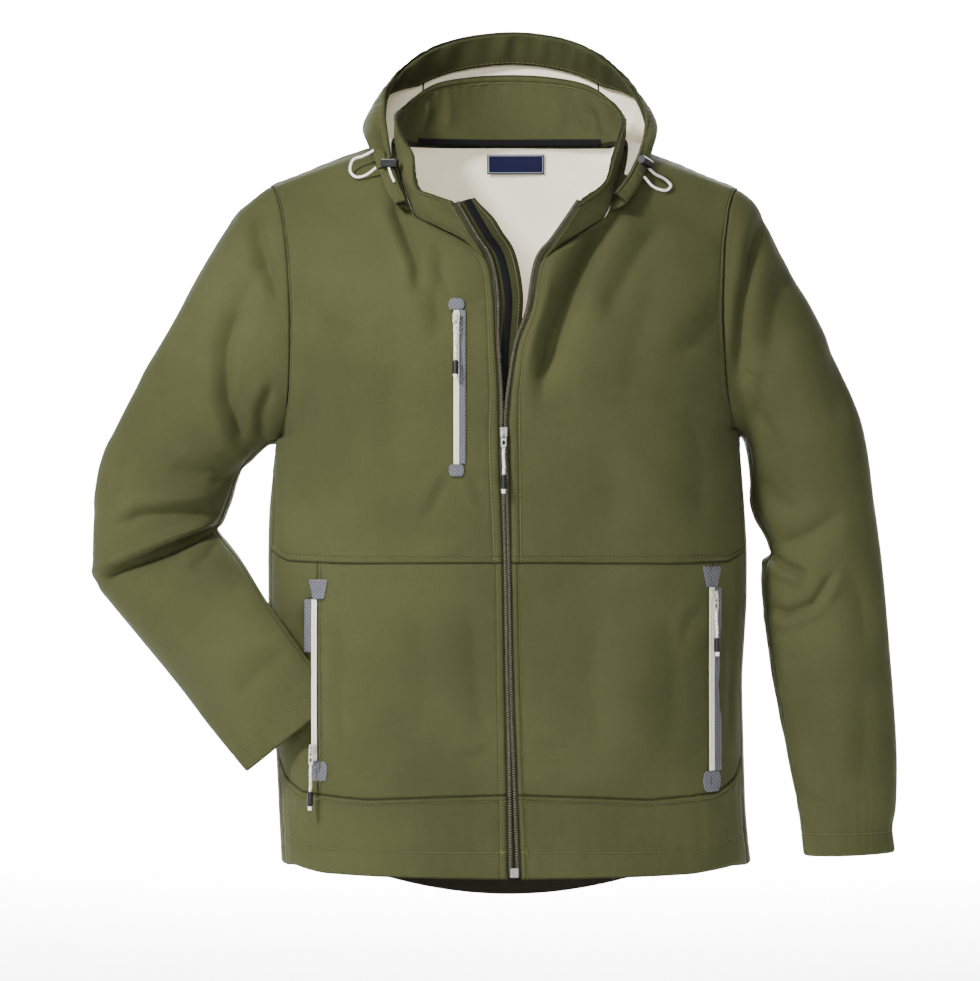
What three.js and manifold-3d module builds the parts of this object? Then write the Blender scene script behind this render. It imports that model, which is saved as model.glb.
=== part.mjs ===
// A hooded softshell jacket, filled out as if worn, in millimetres.
// X runs to the wearer's left, the front faces -Y and Z is up. The origin is the middle of the neck opening,
// level with the back neck seam. Right and left in the names are the wearer's.
import * as THREE from "three";
import { mergeVertices } from "three/addons/utils/BufferGeometryUtils.js";
import Module from "manifold-3d";

const wasm = await Module();
wasm.setup();

// Sizes of the cloth
const CLOTH = 2.0; // softshell with its bonded fleece
const THIN = 1.2; // facings and tapes
const SEAM = 0.35; // space between two sewn edges
const LAY = 0.35; // space between a panel and what lies on it
const ROUND = 2.4; // exponent of the body's rounded section

// Sizes of the body
const SHOULDER_TOP = -8;
const SHOULDER_BEND = 30;
const SHOULDER_FALL = 260; // height over which the shoulders round off to the full depth
const ARMHOLE_DEPTH = 62;
const ARMHOLE_SCOOP = 20;
const SIDE_SEAM_TURN = 13.2; // degrees that the side seams lie in front of the sides
const NECK_HALF = 112;
const NECK_BACK = 67;

const OLIVE = new THREE.MeshStandardMaterial({ color: 0x6a6c48, roughness: 0.85, metalness: 0 });
const SHADE = new THREE.MeshStandardMaterial({ color: 0x575a37, roughness: 0.85, metalness: 0 });
const BLACK = new THREE.MeshStandardMaterial({ color: 0x1e1c20, roughness: 0.7, metalness: 0 });
const MESH_GREY = new THREE.MeshStandardMaterial({ color: 0x6e707a, roughness: 0.8, metalness: 0 });
const OFF_WHITE = new THREE.MeshStandardMaterial({ color: 0xe1dfcd, roughness: 0.6, metalness: 0 });
const NAVY = new THREE.MeshStandardMaterial({ color: 0x2d3055, roughness: 0.8, metalness: 0 });
const ZIP_TAPE = new THREE.MeshStandardMaterial({ color: 0x6e6c5a, roughness: 0.7, metalness: 0 });
const METAL = new THREE.MeshStandardMaterial({ color: 0x8a8c8e, roughness: 0.35, metalness: 0.9 });

// The body's level sections, from the hem up: half widths on each side and depths in front and behind.
const BODY = [
  { z: -805, right: 233, left: 250, front: 131, back: 128 },
  { z: -750, right: 234, left: 248, front: 131, back: 127 },
  { z: -700, right: 237, left: 243, front: 130, back: 122 },
  { z: -640, right: 240, left: 241, front: 129, back: 117 },
  { z: -565, right: 245, left: 239, front: 128, back: 113 },
  { z: -480, right: 248, left: 244, front: 128, back: 113 },
  { z: -431, right: 248, left: 244, front: 130, back: 116 },
  { z: -380, right: 246, left: 241, front: 132, back: 120 },
  { z: -321, right: 239, left: 236, front: 134, back: 124 },
  { z: -270, right: 244, left: 240, front: 135, back: 127 },
  { z: -200, right: 247, left: 242, front: 134, back: 129 },
  { z: -120, right: 250, left: 246, front: 132, back: 128 },
  { z: 0, right: 254, left: 250, front: 130, back: 122 },
];

// The shoulder line on each side: where it bends down from the neck, and how steeply.
const SHOULDER = { right: { bend: 132, slope: 0.43 }, left: { bend: 118, slope: 0.44 } };

// The armholes: their top and their lowest point, seen from the front.
const ARMHOLE = {
  right: { topX: -246, topZ: -57, lowX: -239, lowZ: -321 },
  left: { topX: 235, topZ: -60, lowX: 236, lowZ: -312 },
};

// The neck seam and the collar's upper edge, from the right front edge round the back to the left front edge.
const COLLAR = [
  { x: -24, y: -108, z: -139, topX: -58, topY: -112, topZ: -82 },
  { x: -50, y: -103, z: -119, topX: -78, topY: -106, topZ: -75 },
  { x: -75, y: -96, z: -106, topX: -93, topY: -97, topZ: -68 },
  { x: -96, y: -83, z: -93, topX: -98, topY: -85, topZ: -50 },
  { x: -108, y: -62, z: -60, topX: -99, topY: -68, topZ: -30 },
  { x: -114, y: -34, z: -30, topX: -111, topY: -46, topZ: -9 },
  { x: -112, y: 0, z: -11.5, topX: -117, topY: -16, topZ: 14 },
  { x: -98, y: 32.5, z: -10, topX: -104, topY: 28, topZ: 34 },
  { x: -70, y: 52.3, z: -9, topX: -79, topY: 55, topZ: 54 },
  { x: -36, y: 63.4, z: -8.8, topX: -42, topY: 72, topZ: 63 },
  { x: 0, y: 67, z: -8.7, topX: 0, topY: 79, topZ: 66 },
  { x: 36, y: 63.4, z: -8.8, topX: 44, topY: 72, topZ: 63 },
  { x: 70, y: 52.3, z: -9.5, topX: 83, topY: 55, topZ: 53 },
  { x: 98, y: 32.5, z: -11, topX: 108, topY: 28, topZ: 33 },
  { x: 112, y: 0, z: -13.4, topX: 118, topY: -14, topZ: 11 },
  { x: 114, y: -34, z: -31, topX: 112, topY: -46, topZ: -12 },
  { x: 108, y: -62, z: -61, topX: 105, topY: -68, topZ: -33 },
  { x: 97, y: -83, z: -93, topX: 99, topY: -86, topZ: -56 },
  { x: 78, y: -96, z: -108, topX: 91, topY: -98, topZ: -67 },
  { x: 54, y: -104, z: -124, topX: 82, topY: -106, topZ: -74 },
  { x: 31, y: -108, z: -141, topX: 74, topY: -112, topZ: -80 },
];

// The upper fronts' rows, from the chest seam up: the inner end on the front edge or the neck seam, the outer
// end on the side seam at a height or on the armhole at an angle from its top, and how far the row follows the
// shoulder line's curve.
const UPPER_FRONT = {
  right: [
    { x: -7.1, y: null, z: -442, side: -430, follow: 0 },
    { x: -8.5, y: null, z: -395, side: -388, follow: 0 },
    { x: -10.5, y: null, z: -345, side: -350, follow: 0 },
    { x: -11, y: null, z: -307, armhole: 180, follow: 0 },
    { x: -11.5, y: null, z: -287, armhole: 165, follow: 0 },
    { x: -12, y: null, z: -265, armhole: 150, follow: 0 },
    { x: -14.6, y: null, z: -221, armhole: 125, follow: 0 },
    { x: -16.5, y: null, z: -175, armhole: 102, follow: 0 },
    { x: -24, y: -108, z: -139, armhole: 82, follow: 0 },
    { x: -50, y: -103, z: -119, armhole: 66, follow: 0 },
    { x: -75, y: -96, z: -106, armhole: 52, follow: 0.2 },
    { x: -96, y: -83, z: -93, armhole: 39, follow: 0.4 },
    { x: -108, y: -62, z: -60, armhole: 26, follow: 0.6 },
    { x: -114, y: -34, z: -30, armhole: 13, follow: 0.8 },
    { x: -112, y: 0, z: -11.5, armhole: 0, follow: 1 },
  ],
  left: [
    { x: 0.8, y: null, z: -442, side: -430, follow: 0 },
    { x: 0, y: null, z: -395, side: -388, follow: 0 },
    { x: -1, y: null, z: -345, side: -350, follow: 0 },
    { x: -2.2, y: null, z: -307, armhole: 180, follow: 0 },
    { x: -1, y: null, z: -290, armhole: 165, follow: 0 },
    { x: 0.8, y: null, z: -270, armhole: 150, follow: 0 },
    { x: 8, y: null, z: -225, armhole: 125, follow: 0 },
    { x: 21, y: null, z: -190, armhole: 102, follow: 0 },
    { x: 31, y: -108, z: -141, armhole: 82, follow: 0 },
    { x: 54, y: -104, z: -124, armhole: 66, follow: 0 },
    { x: 78, y: -96, z: -108, armhole: 52, follow: 0.2 },
    { x: 97, y: -83, z: -93, armhole: 39, follow: 0.4 },
    { x: 108, y: -62, z: -61, armhole: 26, follow: 0.6 },
    { x: 114, y: -34, z: -31, armhole: 13, follow: 0.8 },
    { x: 112, y: 0, z: -13.4, armhole: 0, follow: 1 },
  ],
};

// The back's rows above the underarm: the height at the centre and the angle down the armhole behind.
const UPPER_BACK = [
  { z: -321, armhole: 180 },
  { z: -294, armhole: 164 },
  { z: -268, armhole: 148 },
  { z: -212, armhole: 120 },
  { z: -158, armhole: 94 },
  { z: -108, armhole: 68 },
  { z: -68, armhole: 46 },
  { z: -40, armhole: 25 },
  { z: -24, armhole: 12 },
  { z: -8.7, armhole: 0 },
];
const LOWER_BACK = [-750, -694, -638, -612, -586, -560, -534, -508, -482, -456, -430, -388, -350];
const TAIL = { drop: 50, wide: 205 }; // the drop tail's depth, and its half width

// The lower fronts: front edges, seams and the hand pockets' lines.
const FRONT_EDGE = [
  { z: -755, right: -2.2, left: 10.7 },
  { z: -673, right: -3.4, left: 7.5 },
  { z: -560, right: -5.4, left: 3.5 },
  { z: -442, right: -7.1, left: 0.8 },
];
const POCKET_COLUMN = 9; // the lower front's columns up to the pocket, and up to the side seam
const SIDE_COLUMN = 13;
const POCKET_LINE = { right: -192, left: 203 };
const CHEST_SEAM = [
  { at: 0, z: -442 },
  { at: 0.5, z: -443 },
  { at: 0.82, z: -441 },
  { at: 1, z: -430 },
];
const BAND_SEAM = [
  { at: 0, z: -672 },
  { at: 0.4, z: -678 },
  { at: 0.74, z: -673 },
  { at: 0.9, z: -660 },
  { at: 1, z: -638 },
];
const HEM = [
  { at: 0, z: -755 },
  { at: 0.6, z: -753 },
  { at: 0.85, z: -748 },
  { at: 1, z: -750 },
];
const POCKET_PUSH = { proud: 7, sunk: 21, low: -655, high: -466 }; // the open right pocket's lips

// The angles down the armholes that the body's rows and the sleeves' pieces share.
const FRONT_ANGLES = [13, 26, 39, 52, 66, 82, 102, 125, 150];
const BACK_ANGLES = [196, 212, 240, 266, 292, 314];

// The sleeves' sections, from the armhole to the cuff: the outer and inner edge seen from the front, how far the
// section swells in front and behind, and how far it is scooped towards the body.
const SLEEVE = {
  right: [
    { ox: -246, oy: 0, oz: -57, ix: -239, iy: 0, iz: -321, front: 62, back: 62, scoop: 20 },
    { ox: -267, oy: 2, oz: -71, ix: -242, iy: 0, iz: -323, front: 62, back: 62, scoop: 17 },
    { ox: -286, oy: 4, oz: -91, ix: -247, iy: 0, iz: -324, front: 61, back: 61, scoop: 13 },
    { ox: -307, oy: 8, oz: -126, ix: -252, iy: 2, iz: -327, front: 60, back: 59, scoop: 8 },
    { ox: -330, oy: 12, oz: -165, ix: -258, iy: 4, iz: -332, front: 58, back: 57, scoop: 4 },
    { ox: -355, oy: 16, oz: -209, ix: -266, iy: 6, iz: -340, front: 56, back: 55, scoop: 0 },
    { ox: -379, oy: 20, oz: -250, ix: -274, iy: 8, iz: -350, front: 54, back: 54, scoop: 0 },
    { ox: -401, oy: 22, oz: -293, ix: -281, iy: 10, iz: -363, front: 53, back: 53, scoop: 0 },
    { ox: -419, oy: 24, oz: -333, ix: -286, iy: 12, iz: -379, front: 52, back: 52, scoop: 0 },
    { ox: -427, oy: 24, oz: -372, ix: -291, iy: 14, iz: -391, front: 51, back: 51, scoop: 0 },
    { ox: -430, oy: 22, oz: -411, ix: -295, iy: 14, iz: -401, front: 50, back: 50, scoop: 0 },
    { ox: -430, oy: 18, oz: -444, ix: -298, iy: 12, iz: -407, front: 47, back: 49, scoop: 0 },
    { ox: -426, oy: 14, oz: -466, ix: -299, iy: 8, iz: -411, front: 42, back: 48, scoop: 0 },
    { ox: -410, oy: 6, oz: -486, ix: -290, iy: -4, iz: -422, front: 46, back: 45, scoop: 0 },
    { ox: -385, oy: -4, oz: -515, ix: -269, iy: -28, iz: -447, front: 43, back: 38, scoop: 0 },
    { ox: -358, oy: -16, oz: -546, ix: -247, iy: -60, iz: -479, front: 40, back: 28, scoop: 0 },
    { ox: -331, oy: -30, oz: -577, ix: -224, iy: -86, iz: -509, front: 33, back: 16, scoop: 0 },
    { ox: -306, oy: -46, oz: -607, ix: -202, iy: -90, iz: -540, front: 20, back: 12, scoop: 0 },
    { ox: -282, oy: -58, oz: -635, ix: -189, iy: -87, iz: -557, front: 13, back: 10, scoop: 0 },
    { ox: -266, oy: -66, oz: -654, ix: -175, iy: -84, iz: -581, front: 10, back: 9, scoop: 0 },
  ],
  left: [
    { ox: 235, oy: 0, oz: -60, ix: 236, iy: 0, iz: -312, front: 62, back: 62, scoop: 20 },
    { ox: 252, oy: 0, oz: -74, ix: 239, iy: 0, iz: -313.5, front: 62, back: 62, scoop: 17 },
    { ox: 266, oy: 1, oz: -97, ix: 242, iy: 0, iz: -316, front: 61, back: 61, scoop: 13 },
    { ox: 278, oy: 2, oz: -124, ix: 244, iy: 0, iz: -321, front: 60, back: 60, scoop: 8 },
    { ox: 293, oy: 3, oz: -150, ix: 245, iy: 0, iz: -328, front: 58, back: 58, scoop: 4 },
    { ox: 309, oy: 3, oz: -178, ix: 246, iy: 0, iz: -338, front: 57, back: 57, scoop: 0 },
    { ox: 327, oy: 4, oz: -213, ix: 246.5, iy: 0, iz: -351, front: 55, back: 55, scoop: 0 },
    { ox: 347, oy: 4, oz: -256, ix: 247.5, iy: 0, iz: -368, front: 53, back: 53, scoop: 0 },
    { ox: 362, oy: 3, oz: -297, ix: 249, iy: 0, iz: -385, front: 51, back: 51, scoop: 0 },
    { ox: 370, oy: 2, oz: -339, ix: 254, iy: -2, iz: -401, front: 50, back: 50, scoop: 0 },
    { ox: 374, oy: 1, oz: -375, ix: 262, iy: -3, iz: -416, front: 48, back: 49, scoop: 0 },
    { ox: 379, oy: 0, oz: -411, ix: 266, iy: -4, iz: -432, front: 46, back: 48, scoop: 0 },
    { ox: 384, oy: -3, oz: -452, ix: 259, iy: -6, iz: -455, front: 47, back: 47, scoop: 0 },
    { ox: 388, oy: -8, oz: -495, ix: 261, iy: -10, iz: -493, front: 45, back: 45, scoop: 0 },
    { ox: 391, oy: -13, oz: -540, ix: 266, iy: -15, iz: -537, front: 43, back: 42, scoop: 0 },
    { ox: 394, oy: -19, oz: -588, ix: 275, iy: -21, iz: -588, front: 41, back: 39, scoop: 0 },
    { ox: 396, oy: -25, oz: -642, ix: 284, iy: -27, iz: -645, front: 38, back: 36, scoop: 0 },
    { ox: 395, oy: -30, oz: -692, ix: 294, iy: -32, iz: -694, front: 35, back: 33, scoop: 0 },
    { ox: 392, oy: -33, oz: -711, ix: 296, iy: -35, iz: -713, front: 33, back: 31, scoop: 0 },
    { ox: 393, oy: -35, oz: -737, ix: 299, iy: -37, iz: -741, front: 31, back: 29, scoop: 0 },
  ],
};

// The hood, hanging open behind the collar, from its right front end to its left one: the rim, the ridge where
// the cloth turns back to the neck, and how the cloth hangs between them.
const HOOD = [
  { x: -104, y: -90, z: -80, ridgeX: -113, ridgeY: -91, ridgeZ: -83, sag: 0, lean: 0 },
  { x: -112, y: -76, z: -60, ridgeX: -125, ridgeY: -72, ridgeZ: -64, sag: 4, lean: 0 },
  { x: -119, y: -52, z: -36, ridgeX: -137, ridgeY: -42, ridgeZ: -31, sag: 3, lean: 0 },
  { x: -124, y: -24, z: -8, ridgeX: -147, ridgeY: -4, ridgeZ: -6, sag: 8, lean: -6 },
  { x: -128, y: 12, z: 22, ridgeX: -150, ridgeY: 46, ridgeZ: 4, sag: 30, lean: -16 },
  { x: -125, y: 50, z: 52, ridgeX: -139, ridgeY: 105, ridgeZ: -12, sag: 70, lean: -35 },
  { x: -101, y: 83, z: 84, ridgeX: -108, ridgeY: 153, ridgeZ: -50, sag: 115, lean: -55 },
  { x: -60, y: 107, z: 107, ridgeX: -62, ridgeY: 180, ridgeZ: -82, sag: 145, lean: -68 },
  { x: 3, y: 118, z: 117, ridgeX: 3, ridgeY: 190, ridgeZ: -95, sag: 155, lean: -71 },
  { x: 64, y: 107, z: 107, ridgeX: 66, ridgeY: 180, ridgeZ: -82, sag: 145, lean: -68 },
  { x: 105, y: 83, z: 82, ridgeX: 112, ridgeY: 153, ridgeZ: -50, sag: 115, lean: -55 },
  { x: 130, y: 50, z: 47, ridgeX: 142, ridgeY: 105, ridgeZ: -12, sag: 70, lean: -35 },
  { x: 139, y: 12, z: 14, ridgeX: 152, ridgeY: 46, ridgeZ: 2, sag: 34, lean: -16 },
  { x: 136, y: -20, z: -13, ridgeX: 149, ridgeY: -4, ridgeZ: -9, sag: 14, lean: -6 },
  { x: 128, y: -48, z: -34, ridgeX: 139, ridgeY: -38, ridgeZ: -36, sag: 6, lean: 0 },
  { x: 118, y: -72, z: -54, ridgeX: 128, ridgeY: -70, ridgeZ: -62, sag: 3, lean: 0 },
  { x: 105, y: -88, z: -72, ridgeX: 115, ridgeY: -91, ridgeZ: -82, sag: 0, lean: 0 },
];
const HOOD_NECK = { first: 3, last: 17, out: 5.5, up: 4.4 }; // the stations of the neck seam that the hood follows
const HOOD_PANEL = { from: 0.4, to: 0.6 }; // the centre panel's share of the way along the rim
const RIM_FACING = 32;
const HOOD_CLOTH = 1.8;

// The zip pockets: where each zip lies, its mesh patches, and its slider. On the right the pocket is open.
const POCKETS = [
  { name: "chest", side: "right", x: -53.2, top: -191, low: -344, patch: 12, slider: -199, strip: 6, open: false },
  { name: "hand_left", side: "left", x: 203, top: -467, low: -651, patch: 21, slider: -475, strip: 7, open: false },
  { name: "hand_right", side: "right", x: -192, top: -479, low: -641, patch: 20, slider: -629, strip: -7, open: true },
];
const LABEL = { x: 7, wide: 60, top: -18, low: -38 };

// The hood's elastic cords, toggles and sewn bases. Places on the hood are shares of the way along its rim and
// from the rim to the neck. The loop's middle points are seen from the front.
const ELASTIC = {
  radius: 1.4,
  base: 1.2,
  toggle: 4.4,
  right: {
    base: { from: 0.098, to: 0.142, high: 0.1, low: 0.42 },
    toggle: { share: 0.1, down: 0.06, toShare: 0.1, toDown: 0.3, long: 17, over: 0 },
    start: { share: 0.132, down: 0.33, over: 1.55 },
    loop: [
      { x: -148.5, z: -30 },
      { x: -159, z: -34 },
      { x: -162, z: -45 },
      { x: -156, z: -52 },
      { x: -147, z: -51 },
    ],
    end: { share: 0.1, down: 0.46, over: 0 },
  },
  left: {
    base: { from: 0.877, to: 0.92, high: 0.1, low: 0.42 },
    toggle: { share: 0.897, down: 0.2, toShare: 0.885, toDown: 0.45, long: 17, over: 1.4 },
    start: { share: 0.89, down: 0.45, over: 0 },
    loop: [
      { x: 148, z: -49 },
      { x: 157, z: -53.5 },
      { x: 163.4, z: -60.6 },
      { x: 158, z: -66 },
      { x: 146, z: -63 },
    ],
    end: { share: 0.915, down: 0.45, over: 0 },
  },
};
const FRONT_SLIDER = -312;
const ZIP_WIDE = 5.6;
const ZIP_THICK = 1.3;
const PULL = { tab: 15, wide: 5.2, thick: 1.2, cord: 3, cordLong: 27, grip: 6.4, gripLong: 18 };
const SLIDER = { wide: 7, long: 9, thick: 2.4, bridge: 2.4, bridgeWide: 1.8 };

const vector = (x, y, z) => new THREE.Vector3(x, y, z);
const mix = (a, b, t) => a + (b - a) * t;
const clamp = (value) => Math.min(1, Math.max(0, value));
const smooth = (value) => clamp(value) ** 2 * (3 - 2 * clamp(value));

// The value of a named column where another column, which rises down the table, has a given value.
function lookUp(table, key, at, column) {
  let i = 1;
  while (i < table.length - 1 && table[i][key] < at) i += 1;
  const [a, b] = [table[i - 1], table[i]];
  return mix(a[column], b[column], clamp((at - a[key]) / (b[key] - a[key])));
}

// A smooth curve through a column of a table, at a place given in rows.
function along(table, place, column) {
  const last = table.length - 1;
  const i = Math.min(last - 1, Math.max(0, Math.floor(place)));
  const t = place - i;
  const row = (k) => table[Math.min(last, Math.max(0, k))][column];
  const [a, b, c, d] = [row(i - 1), row(i), row(i + 1), row(i + 2)];
  return 0.5 * (2 * b + (c - a) * t + (2 * a - 5 * b + 4 * c - d) * t * t + (3 * b - a - 3 * c + d) * t ** 3);
}

// The height of the shoulder line above a place across the body.
function shoulderLine(x) {
  const { bend, slope } = x < 0 ? SHOULDER.right : SHOULDER.left;
  const past = Math.abs(x) - bend;
  return SHOULDER_TOP - (slope * (Math.hypot(past, SHOULDER_BEND) + past)) / 2;
}

// The body's surface at a place across it and a height. Facing is -1 in front and 1 behind.
function bodyDepth(x, z, facing) {
  const half = lookUp(BODY, "z", z, x < 0 ? "right" : "left");
  const reach = lookUp(BODY, "z", z, facing < 0 ? "front" : "back");
  const section = Math.max(0, 1 - Math.abs(x / half) ** ROUND) ** (1 / ROUND);
  const below = clamp((shoulderLine(x) - z) / SHOULDER_FALL);
  const power = facing < 0 ? 1.8 : mix(1.2, 1.8, smooth(Math.abs(x) / 130));
  const rounding = (1 - (1 - below) ** power) ** (1 / power);
  if (facing < 0) return -reach * section * rounding;
  const neck = NECK_BACK * Math.sqrt(Math.max(0, 1 - (x / NECK_HALF) ** 2));
  return mix(neck, reach * section, rounding);
}

// The armhole at an angle down from the shoulder: the front half for angles to 180, the back half past that.
function armholePoint(side, degrees) {
  const { topX, topZ, lowX, lowZ } = ARMHOLE[side];
  const angle = THREE.MathUtils.degToRad(degrees);
  const t = (1 - Math.cos(angle)) / 2;
  const inward = side === "right" ? 1 : -1;
  const scoop = ARMHOLE_SCOOP * Math.abs(Math.sin(angle)) * inward;
  return vector(mix(topX, lowX, t) + scoop, -ARMHOLE_DEPTH * Math.sin(angle), mix(topZ, lowZ, t));
}

// The direction in which both the body's and the sleeve's edge face at the armhole.
function armholeNormal(side, degrees) {
  const angle = THREE.MathUtils.degToRad(degrees);
  const outward = side === "right" ? -0.7 : 0.7;
  return vector(outward, -Math.sin(angle), Math.cos(angle)).normalize();
}

// A level section of the body by the angle round from the centre back, so that it also passes the sides.
function bodyRound(degrees, z, side) {
  const angle = THREE.MathUtils.degToRad(degrees);
  const half = lookUp(BODY, "z", z, side) * (side === "right" ? -1 : 1);
  const x = half * Math.sin(angle) ** (2 / ROUND);
  const reach = lookUp(BODY, "z", z, Math.cos(angle) < 0 ? "front" : "back");
  const y = Math.sign(Math.cos(angle)) * reach * Math.abs(Math.cos(angle)) ** (2 / ROUND);
  return vector(x, y, z);
}

// The side seam at a height: it starts at the armhole's lowest point and moves to the front below it.
function sideSeam(side, z) {
  const turn = SIDE_SEAM_TURN * smooth((ARMHOLE[side].lowZ - z) / 60);
  return bodyRound(90 + turn, z, side);
}

// The direction in which the cloth faces at the side seam.
function sideNormal(side, z) {
  const turn = 90 + SIDE_SEAM_TURN * smooth((ARMHOLE[side].lowZ - z) / 60);
  const round = bodyRound(turn + 1, z, side).sub(bodyRound(turn - 1, z, side));
  return vector(-round.y, round.x, 0).normalize().multiplyScalar(side === "right" ? 1 : -1);
}

// A closed wall from a grid of outer points, row by row. Options: thick, how far in the outer face starts (inset),
// directions at given points (facing), and whether the last column joins the first (ring).
function wall(grid, { thick = CLOTH, inset = 0, facing = null, ring = false } = {}) {
  const rows = grid.length;
  const columns = grid[0].length;
  const at = (i, j) => {
    const row = grid[Math.min(rows - 1, Math.max(0, i))];
    return ring ? row[(j + columns) % columns] : row[Math.min(columns - 1, Math.max(0, j))];
  };
  const outer = [];
  const inner = [];
  for (let i = 0; i < rows; i += 1) {
    for (let j = 0; j < columns; j += 1) {
      const down = at(i + 1, j).clone().sub(at(i - 1, j));
      const across = at(i, j + 1).clone().sub(at(i, j - 1));
      const normal = (facing && facing(i, j)) || down.cross(across).normalize();
      outer.push(at(i, j).clone().addScaledVector(normal, -inset));
      inner.push(at(i, j).clone().addScaledVector(normal, -inset - thick));
    }
  }
  return closeWall(outer, inner, rows, columns, ring);
}

// Joins an outer and an inner grid of points into one closed mesh that faces out.
function closeWall(outer, inner, rows, columns, ring) {
  const shift = outer.length;
  const spans = ring ? columns : columns - 1;
  const index = [];
  const quad = (a, b, c, d) => index.push(a, b, c, a, c, d);
  const id = (i, j) => i * columns + (j % columns);
  for (let i = 0; i < rows - 1; i += 1) {
    for (let j = 0; j < spans; j += 1) {
      quad(id(i, j), id(i, j + 1), id(i + 1, j + 1), id(i + 1, j));
      quad(shift + id(i, j), shift + id(i + 1, j), shift + id(i + 1, j + 1), shift + id(i, j + 1));
    }
  }
  for (let j = 0; j < spans; j += 1) {
    quad(id(0, j), shift + id(0, j), shift + id(0, j + 1), id(0, j + 1));
    quad(id(rows - 1, j), id(rows - 1, j + 1), shift + id(rows - 1, j + 1), shift + id(rows - 1, j));
  }
  if (!ring) {
    for (let i = 0; i < rows - 1; i += 1) {
      quad(id(i, 0), id(i + 1, 0), shift + id(i + 1, 0), shift + id(i, 0));
      const end = columns - 1;
      quad(id(i, end), shift + id(i, end), shift + id(i + 1, end), id(i + 1, end));
    }
  }
  const points = [...outer, ...inner];
  const geometry = new THREE.BufferGeometry().setFromPoints(points);
  geometry.setIndex(meshVolume(points, index) < 0 ? index.reverse() : index);
  return geometry;
}

// Six times the volume that a list of triangles encloses, negative where they face in.
function meshVolume(points, index) {
  let sum = 0;
  for (let i = 0; i < index.length; i += 3) {
    const [a, b, c] = [points[index[i]], points[index[i + 1]], points[index[i + 2]]];
    sum += a.dot(b.clone().cross(c));
  }
  return sum;
}

// Pulls a grid's edges back along the cloth, to leave half a seam's space there.
function trimmed(grid, { first = SEAM / 2, last = SEAM / 2, start = SEAM / 2, end = SEAM / 2 } = {}) {
  const rows = grid.length;
  const columns = grid[0].length;
  const toward = (a, b, by) => a.clone().add(b.clone().sub(a).setLength(by));
  return grid.map((row, i) =>
    row.map((point, j) => {
      let moved = point.clone();
      if (j === 0) moved = toward(moved, row[1], start);
      if (j === columns - 1) moved = toward(moved, row[columns - 2], end);
      if (i === 0) moved = toward(moved, grid[1][j], first);
      if (i === rows - 1) moved = toward(moved, grid[rows - 2][j], last);
      return moved;
    }),
  );
}

const model = new THREE.Group();

// Adds one named piece to the model.
function add(name, geometry, material, place = new THREE.Matrix4()) {
  const mesh = new THREE.Mesh(geometry, material);
  mesh.name = name;
  mesh.applyMatrix4(place);
  model.add(mesh);
}

// A row across the front from an inner point to an outer one, spread by the angle round the body.
function frontRow(side, from, to, count, follow) {
  const half = lookUp(BODY, "z", (from.z + to.z) / 2, side);
  const turn = (x) => Math.asin(Math.min(1, Math.abs(x / half)) ** (ROUND / 2)) * (Math.sign(x) || 1);
  const [a, b] = [turn(from.x), turn(to.x)];
  const row = [];
  for (let j = 0; j <= count; j += 1) {
    const t = j / count;
    const angle = mix(a, b, t);
    const x = half * Math.abs(Math.sin(angle)) ** (2 / ROUND) * Math.sign(angle);
    const share = (x - from.x) / (to.x - from.x);
    const drop = mix(shoulderLine(from.x) - from.z, shoulderLine(to.x) - to.z, share);
    const z = mix(mix(from.z, to.z, share), shoulderLine(x) - drop, follow);
    const y = bodyDepth(x, z, -1);
    row.push(vector(x, y, z));
  }
  const startOff = from.y === null ? 0 : from.y - row[0].y;
  const endOff = to.y - row[count].y;
  row.forEach((point, j) => {
    const t = j / count;
    point.y += startOff * (1 - t) ** 3 + endOff * t ** 4;
  });
  row[0].set(from.x, row[0].y, from.z);
  row[count].copy(to);
  return row;
}

const FRONT_COLUMNS = 13;

// The upper front, from the chest seam to the shoulder seam.
function upperFront(side) {
  const grid = UPPER_FRONT[side].map((row) => {
    const end = row.armhole === undefined ? sideSeam(side, row.side) : armholePoint(side, row.armhole);
    return frontRow(side, row, end, FRONT_COLUMNS, row.follow);
  });
  grid[0] = grid[0].map((_, column) => lowerSpot(side, "plain", column, CHEST_SEAM, CHEST_SEAM, 0));
  grid[grid.length - 1].forEach((point) => {
    point.y = 0;
  });
  const table = UPPER_FRONT[side];
  const facing = (i, j) => {
    if (j === FRONT_COLUMNS && table[i].armhole !== undefined) return armholeNormal(side, table[i].armhole);
    if (j === FRONT_COLUMNS) return sideNormal(side, table[i].side);
    if (i === table.length - 1) return vector(side === "right" ? -0.35 : 0.35, 0, 0.94).normalize();
    return null;
  };
  add("upper_front_" + side, wall(oriented(trimmed(grid), side), { facing: mirrored(facing, side) }), OLIVE);
}

// Grids run from the front edge outwards, so those of the left side are turned round to face out.
function oriented(grid, side) {
  return side === "right" ? grid : grid.map((row) => [...row].reverse());
}
function mirrored(facing, side) {
  return side === "right" ? facing : (i, j) => facing(i, FRONT_COLUMNS - j);
}

// How far the open right pocket moves the cloth in or out of the body's surface.
function pocketPush(side, part, x, z) {
  if (side === "left" || part === "plain") return 0;
  const { proud, sunk, low, high } = POCKET_PUSH;
  const middle = smooth((z - low) / 45) * smooth((high - z) / 45);
  const off = x - POCKET_LINE.right;
  if (part === "front") return -proud * middle * (1 - smooth(off / 70));
  return sunk * middle * (1 - smooth(-off / 41));
}

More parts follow.
